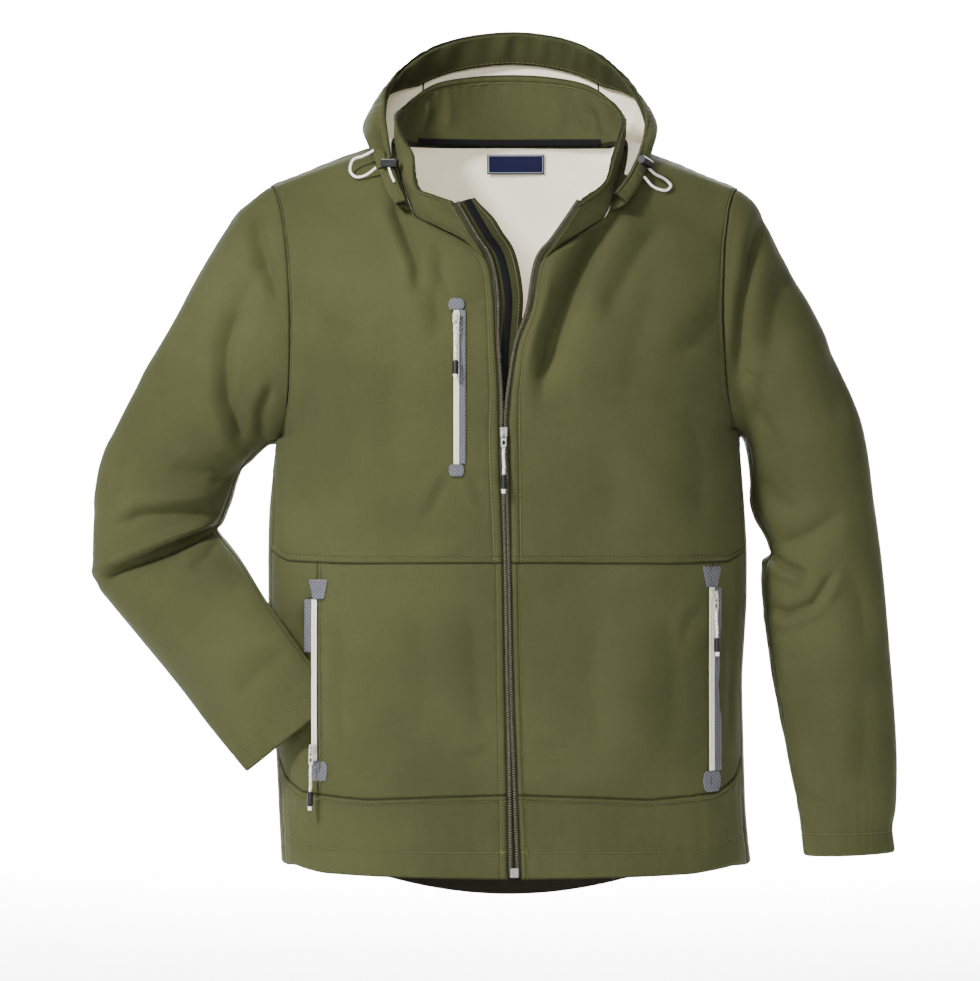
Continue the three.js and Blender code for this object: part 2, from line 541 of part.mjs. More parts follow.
// A point of the lower front at a share of the way from the front edge to the side seam, and a height.
function lowerPoint(side, share, z, part) {
  const edge = lookUp(FRONT_EDGE, "z", z, side);
  const seam = sideSeam(side, z);
  const half = lookUp(BODY, "z", z, side);
  const turn = (x) => Math.asin(Math.min(1, Math.abs(x / half)) ** (ROUND / 2));
  const sign = side === "right" ? -1 : 1;
  const x = sign * half * Math.sin(mix(turn(edge) * Math.sign(edge * sign), turn(seam.x), share)) ** (2 / ROUND);
  const y = share === 1 ? seam.y : bodyDepth(x, z, -1);
  return vector(share === 0 ? edge : x, y + pocketPush(side, part, x, z), z);
}

// The share of the way to the side seam at which a given place across the front lies.
function shareAt(side, x, z) {
  const half = lookUp(BODY, "z", z, side);
  const turn = (value) => Math.asin(Math.min(1, Math.abs(value / half)) ** (ROUND / 2));
  return turn(x) / turn(sideSeam(side, z).x);
}

// The share at which a column of the lower front lies. Columns run from the front edge (0) over the pocket's
// line to the side seam.
function columnShare(side, column, z) {
  const slit = shareAt(side, POCKET_LINE[side], z);
  if (column <= POCKET_COLUMN) return (slit * column) / POCKET_COLUMN;
  return mix(slit, 1, (column - POCKET_COLUMN) / (SIDE_COLUMN - POCKET_COLUMN));
}

// The point on a column of the lower front at a share of the way up from one seam to another.
function lowerSpot(side, part, column, lowSeam, highSeam, up) {
  const guess = columnShare(side, column, -550);
  const z = mix(lookUp(lowSeam, "at", guess, "z"), lookUp(highSeam, "at", guess, "z"), up);
  return lowerPoint(side, columnShare(side, column, z), z, part);
}

// A piece of the lower front between two of its columns and two seams.
function lowerPiece(side, part, rows, from, to, lowSeam, highSeam) {
  const grid = [];
  for (let i = 0; i <= rows; i += 1) {
    const row = [];
    for (let column = from; column <= to; column += 1) {
      row.push(lowerSpot(side, part, column, lowSeam, highSeam, i / rows));
    }
    grid.push(row);
  }
  const facing = (i, j) => (from + j === SIDE_COLUMN ? sideNormal(side, grid[i][j].z) : null);
  const turned = side === "right" ? facing : (i, j) => facing(i, to - from - j);
  return wall(oriented(trimmed(grid), side), { facing: turned });
}

function lowerFront(side) {
  add("lower_front_" + side, lowerPiece(side, "front", 8, 0, POCKET_COLUMN, BAND_SEAM, CHEST_SEAM), OLIVE);
  add("lower_side_" + side, lowerPiece(side, "side", 8, POCKET_COLUMN, SIDE_COLUMN, BAND_SEAM, CHEST_SEAM), OLIVE);
  add("hem_band_" + side, lowerPiece(side, "plain", 2, 0, SIDE_COLUMN, HEM, BAND_SEAM), OLIVE);
}

// The back in one piece, from the drop tail to the shoulder and neck seams.
function back() {
  const shoulderColumns = 3;
  const neck = COLLAR.slice(6, 15).map((station) => station.x);
  const columns = neck.length - 1 + 2 * shoulderColumns;
  const grid = [];
  for (const z of LOWER_BACK) {
    const row = [];
    for (let j = 0; j <= columns; j += 1) {
      const share = (2 * j) / columns - 1;
      const side = share < 0 ? "right" : "left";
      const hem = smooth((-690 - z) / 60) * TAIL.drop;
      const seamTurn = 90 + SIDE_SEAM_TURN * smooth((ARMHOLE[side].lowZ - z) / 60);
      const flat = bodyRound(Math.abs(share) * seamTurn, z, side);
      const tail = Math.max(0, 1 - (flat.x / TAIL.wide) ** 2);
      const low = z - hem * (flat.y > 0 ? tail : 0);
      row.push(bodyRound(Math.abs(share) * seamTurn, low, side));
    }
    grid.push(row);
  }
  UPPER_BACK.forEach((level, i) => {
    const ends = ["right", "left"].map((side) => armholePoint(side, 360 - level.armhole));
    const settle = smooth(i / (UPPER_BACK.length - 1));
    const row = [];
    for (let j = 0; j <= columns; j += 1) {
      const share = (2 * j) / columns - 1;
      const side = share < 0 ? "right" : "left";
      const end = ends[share < 0 ? 0 : 1];
      const half = lookUp(BODY, "z", level.z, side);
      const reach = Math.asin(Math.min(1, Math.abs(end.x) / half) ** (ROUND / 2));
      const even = Math.sign(share) * half * Math.sin(reach * Math.abs(share)) ** (2 / ROUND);
      const seamX = shoulderPlaces(j, neck, shoulderColumns, columns);
      const x = j === 0 || j === columns ? end.x : mix(even, seamX, settle);
      const drop = mix(shoulderLine(0) - level.z, shoulderLine(end.x) - end.z, (x / end.x) ** 2);
      const z = shoulderLine(x) - drop;
      const off = end.y - bodyDepth(end.x, end.z, 1);
      const onSeam = i === UPPER_BACK.length - 1 && Math.abs(x) >= NECK_HALF;
      row.push(vector(x, onSeam ? 0 : bodyDepth(x, z, 1) + off * (x / end.x) ** 6, z));
    }
    grid.push(row);
  });
  const facing = (i, j) => {
    const level = UPPER_BACK[i - LOWER_BACK.length];
    if (!level && j === 0) return sideNormal("right", grid[i][j].z);
    if (!level && j === columns) return sideNormal("left", grid[i][j].z);
    if (!level) return null;
    if (j === 0) return armholeNormal("right", 360 - level.armhole);
    if (j === columns) return armholeNormal("left", 360 - level.armhole);
    const top = i === grid.length - 1;
    if (top && j <= shoulderColumns) return vector(-0.35, 0, 0.94).normalize();
    if (top && j >= columns - shoulderColumns) return vector(0.35, 0, 0.94).normalize();
    return null;
  };
  add("back", wall(trimmed(grid), { facing }), OLIVE);
}

// Where the back's columns end on the shoulder seams and the back neck.
function shoulderPlaces(j, neck, shoulderColumns, columns) {
  if (j < shoulderColumns) return mix(ARMHOLE.right.topX, neck[0], j / shoulderColumns);
  if (j > columns - shoulderColumns) {
    return mix(ARMHOLE.left.topX, neck[neck.length - 1], (columns - j) / shoulderColumns);
  }
  return neck[j - shoulderColumns];
}

// A point of a sleeve at a place along it, in rows, and an angle round it from its outer edge over the front.
function sleevePoint(side, place, degrees) {
  const table = SLEEVE[side];
  const angle = THREE.MathUtils.degToRad(degrees);
  const read = (column) => along(table, place, column);
  const t = (1 - Math.cos(angle)) / 2;
  const swell = Math.sin(angle);
  const depth = swell > 0 ? read("front") : read("back");
  const inward = (side === "right" ? 1 : -1) * read("scoop") * Math.abs(swell);
  return vector(
    mix(read("ox"), read("ix"), t) + inward,
    mix(read("oy"), read("iy"), t) - depth * swell,
    mix(read("oz"), read("iz"), t),
  );
}

// One of the two pieces of a sleeve, between two angles round it.
function sleevePiece(side, name, angles) {
  const columns = angles.length - 1;
  const grid = SLEEVE[side].map((_, i) =>
    angles.map((angle) => {
      const point = sleevePoint(side, i, angle);
      if (i === 0) point.x += side === "right" ? -SEAM : SEAM;
      return point;
    }),
  );
  const facing = (i, j) => {
    const angle = angles[j];
    if (i === 0) return armholeNormal(side, angle);
    const round = sleevePoint(side, i, angle + 2).sub(sleevePoint(side, i, angle - 2));
    const on = sleevePoint(side, i + 0.1, angle).sub(sleevePoint(side, i - 0.1, angle));
    return side === "right" ? on.cross(round).normalize() : round.cross(on).normalize();
  };
  const turned = side === "right" ? grid : grid.map((row) => [...row].reverse());
  const look = side === "right" ? facing : (i, j) => facing(i, columns - j);
  add("sleeve_" + side + name, wall(trimmed(turned, { first: 0.1 }), { facing: look }), OLIVE);
}

// A point of the collar between the neck seam (0) and its upper edge (1), with a slight swell outwards.
function collarPoint(place, t, swell = 3) {
  const read = (column) => along(COLLAR, place, column);
  const [x, y, z] = [read("x"), read("y"), read("z")];
  const out = vector(x, y + 10, 0).normalize().multiplyScalar(swell * Math.sin(Math.PI * t));
  return vector(mix(x, read("topX"), t), mix(y, read("topY"), t), mix(z, read("topZ"), t)).add(out);
}

function collar() {
  const grid = [];
  for (let i = 0; i <= 4; i += 1) {
    grid.push(COLLAR.map((_, place) => collarPoint(place, i / 4)));
  }
  grid[0].forEach((point) => {
    point.z += SEAM + 0.6;
  });
  add("collar", wall(trimmed(grid), { thick: 1.5 }), OLIVE);
  add("collar_facing", wall(trimmed(grid), { thick: THIN, inset: 1.5 + SEAM }), SHADE);
}

// A point of the hood by its place along the rim (0 to 1) and its share of the way from the rim to the neck.
function hoodPoint(share, t) {
  const place = share * (HOOD.length - 1);
  const read = (column) => along(HOOD, place, column);
  const seam = mix(HOOD_NECK.first, HOOD_NECK.last, share);
  const neck = collarPoint(seam, 0, 0);
  neck.add(vector(neck.x, neck.y + 10, 0).setLength(HOOD_NECK.out)).add(vector(0, 0, HOOD_NECK.up));
  const rim = vector(read("x"), read("y"), read("z"));
  const ridge = vector(read("ridgeX"), read("ridgeY"), read("ridgeZ"));
  const middle = ridge.multiplyScalar(8).sub(rim).sub(neck).divideScalar(6);
  const hang = vector(0, read("lean"), read("sag"));
  const [p, q] = [middle.clone().add(hang), middle.clone().sub(hang)];
  return new THREE.CubicBezierCurve3(rim, p, q, neck).getPoint(t);
}

function hoodPiece(name, from, to, columns, material) {
  const rows = 10;
  const down = (i) => (i / rows) ** 1.3;
  const grid = [];
  for (let i = 0; i <= rows; i += 1) {
    const row = [];
    for (let j = 0; j <= columns; j += 1) row.push(hoodPoint(mix(from, to, j / columns), down(i)));
    grid.push(row);
  }
  const facing = (i, j) => hoodNormal(mix(to, from, j / columns), down(i));
  const turned = trimmed(grid).map((row) => [...row].reverse());
  add(name, wall(turned, { thick: HOOD_CLOTH, facing }), material);
}

// The direction in which the hood's fleece side faces.
function hoodNormal(share, t) {
  const [s, r] = [Math.min(0.995, Math.max(0.005, share)), Math.min(0.995, Math.max(0.005, t))];
  const round = hoodPoint(s + 0.004, r).sub(hoodPoint(s - 0.004, r));
  const down = hoodPoint(s, r + 0.004).sub(hoodPoint(s, r - 0.004));
  return down.cross(round).normalize();
}

// The turned-in facing along the hood's rim, on its fleece side.
function rimFacing() {
  const { from, to } = HOOD_PANEL;
  const shares = [];
  for (let j = 0; j < 9; j += 1) shares.push((from * Math.max(0.3, j)) / 9);
  for (let j = 0; j < 4; j += 1) shares.push(mix(from, to, j / 4));
  for (let j = 0; j <= 9; j += 1) shares.push(mix(to, 1, Math.min(8.7, j) / 9));
  const columns = shares.length - 1;
  const spot = (i, j) => {
    const long = hoodPoint(shares[j], 0).distanceTo(hoodPoint(shares[j], 0.1)) * 10;
    return [shares[j], (Math.min(0.12, RIM_FACING / long) * i) / 2 + 0.006];
  };
  const grid = [0, 1, 2].map((i) => {
    const row = [];
    for (let j = columns; j >= 0; j -= 1) row.push(hoodPoint(...spot(i, j)));
    return row;
  });
  const facing = (i, j) => hoodNormal(...spot(i, columns - j));
  add("hood_rim_facing", wall(grid, { thick: 0.9, inset: -2.1, facing }), SHADE);
}

// A narrow strip with a box section along a path. Across and through are directions at each point.
function strip(path, across, through, wide, thick) {
  const outer = [];
  const inner = [];
  path.forEach((point, i) => {
    for (const k of [0, 1]) {
      const edge = point.clone().addScaledVector(across[i], k * wide);
      outer.push(edge);
      inner.push(edge.clone().addScaledVector(through[i], thick));
    }
  });
  return closeWall(outer, inner, path.length, 2, false);
}

// The front edge on one side from the hem to the collar's top, and the direction inwards across the zip.
function frontEdge(side) {
  const path = [];
  for (const z of [-752, -700, -640, -560, -500, -440]) {
    const x = lookUp(FRONT_EDGE, "z", z, side);
    path.push(vector(x, bodyDepth(x, z, -1), z));
  }
  UPPER_FRONT[side].slice(1, 8).forEach((row) => path.push(vector(row.x, row.y ?? bodyDepth(row.x, row.z, -1), row.z)));
  const end = side === "right" ? 0 : COLLAR.length - 1;
  for (const t of [0.35, 0.7, 0.97]) path.push(collarPoint(end, t));
  return path;
}

// Strips beside the front edge: the zip's two halves, and the flap behind with its tape.
function frontStrips() {
  const closed = -309;
  for (const side of ["right", "left"]) {
    const path = frontEdge(side);
    const other = frontEdge(side === "right" ? "left" : "right");
    const sign = side === "right" ? 1 : -1;
    const across = path.map((point) => {
      const opening = smooth((point.z - closed) / 60);
      return vector(sign, mix(0, 0.35, opening), mix(0, 0.3, opening)).normalize();
    });
    const through = path.map((point) => vector(0.25 * sign * smooth((point.z - closed) / 60), 1, 0).normalize());
    const wide = path.map((point, i) => Math.abs(other[i].x - point.x));
    const off = path.map((point) => mix(0.7, 2.7, smooth((point.z + 230) / 80)));
    const place = path.map((point, i) => point.clone().addScaledVector(across[i], off[i]).addScaledVector(through[i], 0.7));
    const reach = path.map((point, i) => Math.min(wide[i] / 2 - 0.9, ZIP_WIDE - 1));
    const scaled = across.map((way, i) => way.clone().multiplyScalar(reach[i]));
    add("front_zip_" + side, strip(place, scaled, through, 1, ZIP_THICK), ZIP_TAPE);
    if (side === "right") placket(path, across, through);
  }
}

// The flap behind the zip, sewn to the right front, and the black tape on it beside the open zip.
function placket(path, across, through) {
  const behind = path.map((point, i) => {
    const opening = smooth((point.z + 260) / 80);
    return point.clone().addScaledVector(through[i], mix(6, 4, opening)).addScaledVector(across[i], mix(-4, 4.4, opening));
  });
  const reach = path.map((point, i) => {
    const wide = 26 - 8 * smooth((point.z + 110) / 30);
    return across[i].clone().multiplyScalar(wide);
  });
  add("placket", strip(behind, reach, through, 1, THIN), SHADE);
  const open = path.map((_, i) => i).filter((i) => path[i].z > -300);
  const base = open.map((i) => behind[i].clone().addScaledVector(across[i], 6).addScaledVector(through[i], -1.1));
  const lay = open.map((i) => across[i]);
  add("placket_tape", strip(base, lay, open.map((i) => through[i]), 8, 0.7), BLACK);
}

// A thin patch on the front's surface between two places across and two heights, moved out from it.
function patch(fromX, toX, low, high, out, thick, columns, rows, part = "plain") {
  const grid = [];
  for (let i = 0; i <= rows; i += 1) {
    const row = [];
    for (let j = 0; j <= columns; j += 1) {
      const x = mix(fromX, toX, j / columns);
      const z = mix(low, high, i / rows);
      row.push(vector(x, bodyDepth(x, z, -1) + pocketPush("right", part, x, z), z));
    }
    grid.push(row);
  }
  const facing = fromX < toX ? grid.map((row) => [...row].reverse()) : grid;
  return wall(facing, { thick, inset: -out - thick });
}

// The tube of a short straight cord, and the solid of revolution of a grip, both hanging down from the origin.
function hanging(radius, long, sides) {
  return new THREE.CylinderGeometry(radius, radius, long, sides).rotateX(Math.PI / 2).translate(0, 0, -long / 2);
}

// A zip slider with the pull that hangs from its bridge, turned to face as the cloth does. Out is how far the
// zip's face lies in front of the cloth's surface there.
function sliderAndPull(named, x, z, part, out) {
  const { wide, long, thick, bridge, bridgeWide } = SLIDER;
  const surface = (px, pz) => bodyDepth(px, pz, -1) + pocketPush("right", part, px, pz);
  const turn = Math.atan((surface(x + 2, z) - surface(x - 2, z)) / 4);
  const lift = Math.abs(surface(x, z + long / 2) - surface(x, z - long / 2)) / 2;
  const seat = new THREE.Matrix4().makeTranslation(x, surface(x, z), z);
  seat.multiply(new THREE.Matrix4().makeRotationZ(turn));
  const face = -out - lift - thick;
  const shape = new THREE.Shape();
  shape.moveTo(thick / 2, -3.6);
  shape.lineTo(thick / 2, 3.6);
  shape.lineTo(-bridge, 3.2);
  shape.lineTo(-bridge - 0.9, 2.4);
  shape.lineTo(-bridge - 0.9, -2.4);
  shape.lineTo(-bridge, -3.2);
  const hole = new THREE.Path();
  hole.moveTo(0, -2);
  hole.lineTo(0, 2);
  hole.lineTo(-bridge, 2);
  hole.lineTo(-bridge, -2);
  shape.holes.push(hole);
  const arch = new THREE.ExtrudeGeometry(shape, { depth: bridgeWide, bevelEnabled: false });
  const stand = new THREE.Matrix4().makeBasis(vector(0, 1, 0), vector(0, 0, 1), vector(1, 0, 0));
  arch.applyMatrix4(stand).translate(-bridgeWide / 2, 0, 0);
  const plate = new THREE.BoxGeometry(wide, thick, long).translate(0, thick / 2, 0);
  const body = joined(arch, plate).translate(0, face, 0);
  add(named("slider"), body, METAL, seat);
  const axis = { y: face - bridge / 2, z: -0.2 };
  const lean = pullLean((down) => (surface(x, z + axis.z - down) - surface(x, z)) * Math.cos(turn) - out, axis.y);
  const hang = seat.clone().multiply(new THREE.Matrix4().makeTranslation(0, axis.y, axis.z));
  hang.multiply(new THREE.Matrix4().makeRotationX(-lean));
  add(named("tab"), tabGeometry(), METAL, hang);
  const { tab, cord, cordLong, grip, gripLong } = PULL;
  const low = new THREE.Matrix4().makeTranslation(0, 0, -tab - SEAM);
  add(named("cord"), hanging(cord / 2, cordLong, 8), OFF_WHITE, hang.clone().multiply(low));
  const end = new THREE.Matrix4().makeTranslation(0, 0, -tab - cordLong - 2 * SEAM);
  add(named("grip"), hanging(grip / 2, gripLong, 10), BLACK, hang.clone().multiply(end));
}

// The angle at which a pull lies on the cloth in front of it, where depth gives the cloth below its axis.
function pullLean(depth, axisY) {
  const { tab, thick, cord, cordLong, grip, gripLong } = PULL;
  const least = THREE.MathUtils.degToRad(2);
  const rests = [
    { down: tab, half: thick / 2 },
    { down: tab + cordLong, half: cord / 2 },
    { down: tab + cordLong + 2, half: grip / 2 },
    { down: tab + cordLong + gripLong, half: grip / 2 },
  ];
  return Math.max(least, ...rests.map(({ down, half }) => (axisY - depth(down) + half + 0.6) / down));
}

// Two closed geometries joined into one.
function joined(first, second) {
  const [a, b] = [first, second].map((geometry) => {
    const bare = geometry.clone().deleteAttribute("normal").deleteAttribute("uv");
    const merged = mergeVertices(bare, 1e-3);
    const vertProperties = merged.attributes.position.array;
    return new wasm.Manifold(new wasm.Mesh({ numProp: 3, vertProperties, triVerts: merged.index.array }));
  });
  const made = a.add(b).getMesh();
  const geometry = new THREE.BufferGeometry();
  geometry.setAttribute("position", new THREE.BufferAttribute(made.vertProperties, 3));
  return geometry.setIndex([...made.triVerts]);
}

// The pull tab: a plate with a window for the bridge at its upper end and one for the cord at its lower end.
function tabGeometry() {
  const { tab, wide, thick } = PULL;
  const shape = new THREE.Shape();
  shape.moveTo(-wide / 2, 0.6);
  shape.lineTo(wide / 2, 0.6);
  shape.lineTo(wide / 2, -tab + 1);
  shape.lineTo(wide / 2 - 1, -tab);
  shape.lineTo(-wide / 2 + 1, -tab);
  shape.lineTo(-wide / 2, -tab + 1);
  for (const [top, low] of [[-0.6, -6], [-8.5, -12.5]]) {
    const hole = new THREE.Path();
    hole.moveTo(-1.5, top);
    hole.lineTo(-1.5, low);
    hole.lineTo(1.5, low);
    hole.lineTo(1.5, top);
    shape.holes.push(hole);
  }
  const plate = new THREE.ExtrudeGeometry(shape, { depth: thick, bevelEnabled: false });
  return plate.translate(0, 0, -thick / 2).rotateX(Math.PI / 2);
}

// A zipped pocket: mesh patches at its ends and beside it, the zip, its slider and its pull.
function pocket({ name, side, x, top, low, patch: long, slider, strip: beside, open }) {
  const [kind, where] = name.split("_");
  const named = (piece) => (where ? kind + "_" + piece + "_" + where : kind + "_" + piece);
  const part = open ? "front" : "plain";
  const half = ZIP_WIDE / 2;
  const level = LAY + 0.2;
  const zipX = open ? x - half - SEAM - 1 : x;
  const lay = open ? -ZIP_THICK - 0.1 : level;
  const zip = patch(zipX - half, zipX + half, low, top, lay, ZIP_THICK, 1, 8, part);
  add(named("zip"), zip, OFF_WHITE);
  const wide = kind === "chest" ? 8 : 9.5;
  const end = patch(x - wide, x + wide, top + SEAM, top + long, level, 0.8, 3, 2, part);
  add(named("mesh_top"), end, MESH_GREY);
  const foot = patch(x - wide, x + wide, low - long, low - SEAM, level, 0.8, 3, 2, part);
  add(named("mesh_low"), foot, MESH_GREY);
  const from = open ? zipX - half - SEAM + beside : x + half + SEAM;
  const stripLow = open ? -532 : low;
  const band = patch(from, from + Math.abs(beside), stripLow, top, open ? -0.9 : level, 0.8, 1, 6, part);
  add(named("mesh_strip"), band, MESH_GREY);
  sliderAndPull(named, zipX, slider, part, lay + ZIP_THICK + 0.3);
}

// The black tape over the back neck seam, inside, and the blank label below it.
function neckInside() {
  const path = [];
  for (let place = 7; place <= 13; place += 1) path.push(collarPoint(place, 0.02));
  const inward = path.map((point) => vector(-point.x, -point.y - 10, 0).normalize());
  const start = path.map((point, i) => point.clone().addScaledVector(inward[i], 4.1).add(vector(0, 0, -3)));
  add("neck_tape", strip(start, path.map(() => vector(0, 0, 1)), inward, 7.5, 0.8), BLACK);
  const { x, wide, top, low } = LABEL;
  const grid = [];
  for (let i = 0; i <= 2; i += 1) {
    const row = [];
    for (let j = 0; j <= 4; j += 1) {
      const px = mix(x + wide / 2, x - wide / 2, j / 4);
      const z = mix(low, top, i / 2);
      row.push(vector(px, bodyDepth(px, z, 1), z));
    }
    grid.push(row.reverse());
  }
  add("neck_label", wall(grid, { thick: 0.8, inset: CLOTH + 1.2 }), NAVY);
}

// The front zip's slider, and the box that stops it at the hem.
function frontClosure() {
  const low = -752;
  const x = mix(lookUp(FRONT_EDGE, "z", low, "right"), lookUp(FRONT_EDGE, "z", low, "left"), 0.5);
  const box = new THREE.BoxGeometry(8, 3, 9);
  const spot = new THREE.Matrix4().makeTranslation(x, bodyDepth(x, low, -1) - 1.1, low + 3.5);
  add("front_zip_box", box, METAL, spot);
  sliderAndPull((piece) => "front_zip_" + piece, -6.5, FRONT_SLIDER, "plain", -0.4);
}

// A place at a height over the hood's outer side.
function overHood({ share, down }, height) {
  return hoodPoint(share, down).addScaledVector(hoodNormal(share, down), -HOOD_CLOTH - height);
}

// The hood's elastic: a sewn base on the outer side, the toggle on it, and the cord in a loop beside them.
function hoodElastic(side) {
  const { radius, base: thick, toggle: round } = ELASTIC;
  const { base, toggle, start, loop, end } = ELASTIC[side];
  const steps = [0, 1, 2];
  const place = (i, j) => [mix(base.from, base.to, i / 2), mix(base.high, base.low, j / 2)];
  const grid = steps.map((i) => steps.map((j) => hoodPoint(...place(i, j))));
  const facing = (i, j) => hoodNormal(...place(i, j));
  add("toggle_base_" + side, wall(grid, { thick, inset: HOOD_CLOTH + LAY, facing }), OLIVE);
  const lift = LAY + thick + LAY + round + toggle.over;
  const low = overHood(toggle, lift);
  const high = overHood({ share: toggle.toShare, down: toggle.toDown }, lift);
  const lock = new THREE.CylinderGeometry(round, round, toggle.long, 10);
  const turn = new THREE.Quaternion().setFromUnitVectors(vector(0, 1, 0), high.sub(low).normalize());
  add("hood_toggle_" + side, lock, BLACK, new THREE.Matrix4().compose(low, turn, vector(1, 1, 1)));
  const rest = LAY + radius;
  const middle = loop.map(({ x, z }) => vector(x, Math.min(bodyDepth(x, z, -1) - rest, -42), z));
  const path = [overHood(start, start.over + rest), ...middle, overHood(end, end.over + rest)];
  const section = new THREE.Shape().absarc(0, 0, radius, 0, 2 * Math.PI);
  const extrudePath = new THREE.CatmullRomCurve3(path);
  const tube = new THREE.ExtrudeGeometry(section, { steps: 26, curveSegments: 8, extrudePath });
  add("hood_elastic_" + side, tube, OFF_WHITE);
}

for (const side of ["right", "left"]) {
  upperFront(side);
  lowerFront(side);
  sleevePiece(side, "_top", [-25, 0, ...FRONT_ANGLES, 165]);
  sleevePiece(side, "_under", [165, 180, ...BACK_ANGLES, 335]);
  hoodElastic(side);
}
back();
collar();
neckInside();
hoodPiece("hood_side_right", 0, HOOD_PANEL.from, 9, OLIVE);
hoodPiece("hood_centre", HOOD_PANEL.from, HOOD_PANEL.to, 4, OLIVE);
hoodPiece("hood_side_left", HOOD_PANEL.to, 1, 9, OLIVE);
rimFacing();
frontStrips();
frontClosure();
POCKETS.forEach(pocket);

export default model;
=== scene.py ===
"""Looks of a hooded softshell jacket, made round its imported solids.

Sizes are worked out in millimetres and written to the meshes in metres. X runs to the wearer's left, the
front faces -Y and Z is up. Right and left are the wearer's.
"""

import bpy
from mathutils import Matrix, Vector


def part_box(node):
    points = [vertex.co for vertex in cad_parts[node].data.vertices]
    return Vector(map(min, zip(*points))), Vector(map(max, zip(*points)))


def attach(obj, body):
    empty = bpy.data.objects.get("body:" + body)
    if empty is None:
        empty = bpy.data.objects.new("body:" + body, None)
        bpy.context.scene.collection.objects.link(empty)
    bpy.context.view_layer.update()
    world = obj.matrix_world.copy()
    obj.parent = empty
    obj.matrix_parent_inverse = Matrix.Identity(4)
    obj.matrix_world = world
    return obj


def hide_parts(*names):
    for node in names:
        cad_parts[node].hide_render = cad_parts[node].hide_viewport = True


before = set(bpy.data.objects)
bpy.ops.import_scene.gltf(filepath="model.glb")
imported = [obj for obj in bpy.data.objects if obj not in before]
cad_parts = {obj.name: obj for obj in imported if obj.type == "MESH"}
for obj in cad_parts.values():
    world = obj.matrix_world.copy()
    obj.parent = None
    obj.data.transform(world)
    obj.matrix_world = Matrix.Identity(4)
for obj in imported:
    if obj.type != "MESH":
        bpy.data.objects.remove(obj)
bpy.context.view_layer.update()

import logging
import math
from dataclasses import dataclass, field
from enum import Enum

import bpy
import numpy as np
from mathutils import Vector

LOG = logging.getLogger("softshell_jacket")
MM = 0.001
Array = np.ndarray
Table = dict[str, Array]
Triple = tuple[float, float, float]
Four = tuple[float, float, float, float]
Thing = bpy.types.Object
Material = bpy.types.Material
NodeTree = bpy.types.NodeTree
Node = bpy.types.Node
Socket = bpy.types.NodeSocket


class Side(Enum):
    """One half of the jacket."""

    RIGHT = "right"
    LEFT = "left"

    @property
    def sign(self) -> float:
        """The sign of X on this side."""
        return -1.0 if self is Side.RIGHT else 1.0


class Lip(Enum):
    """How the cloth beside the open right pocket lies."""

    PLAIN = "plain"
    FRONT = "front"
    SIDE = "side"


def table(names: str, *rows: tuple[float, ...]) -> Table:
    """Gives each column of a table its name.

    Args:
        names: the columns' names, parted by spaces.
        rows: the table's rows.

    Returns:
        One array for each name.
    """
    values = np.array(rows, float)
    return {name: values[:, i] for i, name in enumerate(names.split())}


CLOTH = 2.0
ROUND = 2.4
SHOULDER_TOP = -8.0
SHOULDER_BEND = 30.0
SHOULDER_FALL = 260.0
NECK_HALF = 112.0
NECK_BACK = 67.0
SIDE_TURN = 13.2
BODY = table(
    "z right left front back",
    (-805, 233, 250, 131, 128),
    (-750, 234, 248, 131, 127),
    (-700, 237, 243, 130, 122),
    (-640, 240, 241, 129, 117),
    (-565, 245, 239, 128, 113),
    (-480, 248, 244, 128, 113),
    (-431, 248, 244, 130, 116),
    (-380, 246, 241, 132, 120),
    (-321, 239, 236, 134, 124),
    (-270, 244, 240, 135, 127),
    (-200, 247, 242, 134, 129),
    (-120, 250, 246, 132, 128),
    (0, 254, 250, 130, 122),
)
SHOULDER = {Side.RIGHT: (132.0, 0.43), Side.LEFT: (118.0, 0.44)}
ARMHOLE = {Side.RIGHT: (-246.0, -57.0, -239.0, -321.0), Side.LEFT: (235.0, -60.0, 236.0, -312.0)}
ARMHOLE_DEPTH = 62.0
ARMHOLE_SCOOP = 20.0
COLLAR = table(
    "x y z topX topY topZ",
    (-24, -108, -139, -58, -112, -82),
    (-50, -103, -119, -78, -106, -75),
    (-75, -96, -106, -93, -97, -68),
    (-96, -83, -93, -98, -85, -50),
    (-108, -62, -60, -99, -68, -30),
    (-114, -34, -30, -111, -46, -9),
    (-112, 0, -11.5, -117, -16, 14),
    (-98, 32.5, -10, -104, 28, 34),
    (-70, 52.3, -9, -79, 55, 54),
    (-36, 63.4, -8.8, -42, 72, 63),
    (0, 67, -8.7, 0, 79, 66),
    (36, 63.4, -8.8, 44, 72, 63),
    (70, 52.3, -9.5, 83, 55, 53),
    (98, 32.5, -11, 108, 28, 33),
    (112, 0, -13.4, 118, -14, 11),
    (114, -34, -31, 112, -46, -12),
    (108, -62, -61, 105, -68, -33),
    (97, -83, -93, 99, -86, -56),
    (78, -96, -108, 91, -98, -67),
    (54, -104, -124, 82, -106, -74),
    (31, -108, -141, 74, -112, -80),
)
UNSET = float("nan")
FRONT_ENDS = (
    (-430, UNSET, 0), (-388, UNSET, 0), (-350, UNSET, 0), (UNSET, 180, 0), (UNSET, 165, 0),
    (UNSET, 150, 0), (UNSET, 125, 0), (UNSET, 102, 0), (UNSET, 82, 0), (UNSET, 66, 0),
    (UNSET, 52, 0.2), (UNSET, 39, 0.4), (UNSET, 26, 0.6), (UNSET, 13, 0.8), (UNSET, 0, 1),
)


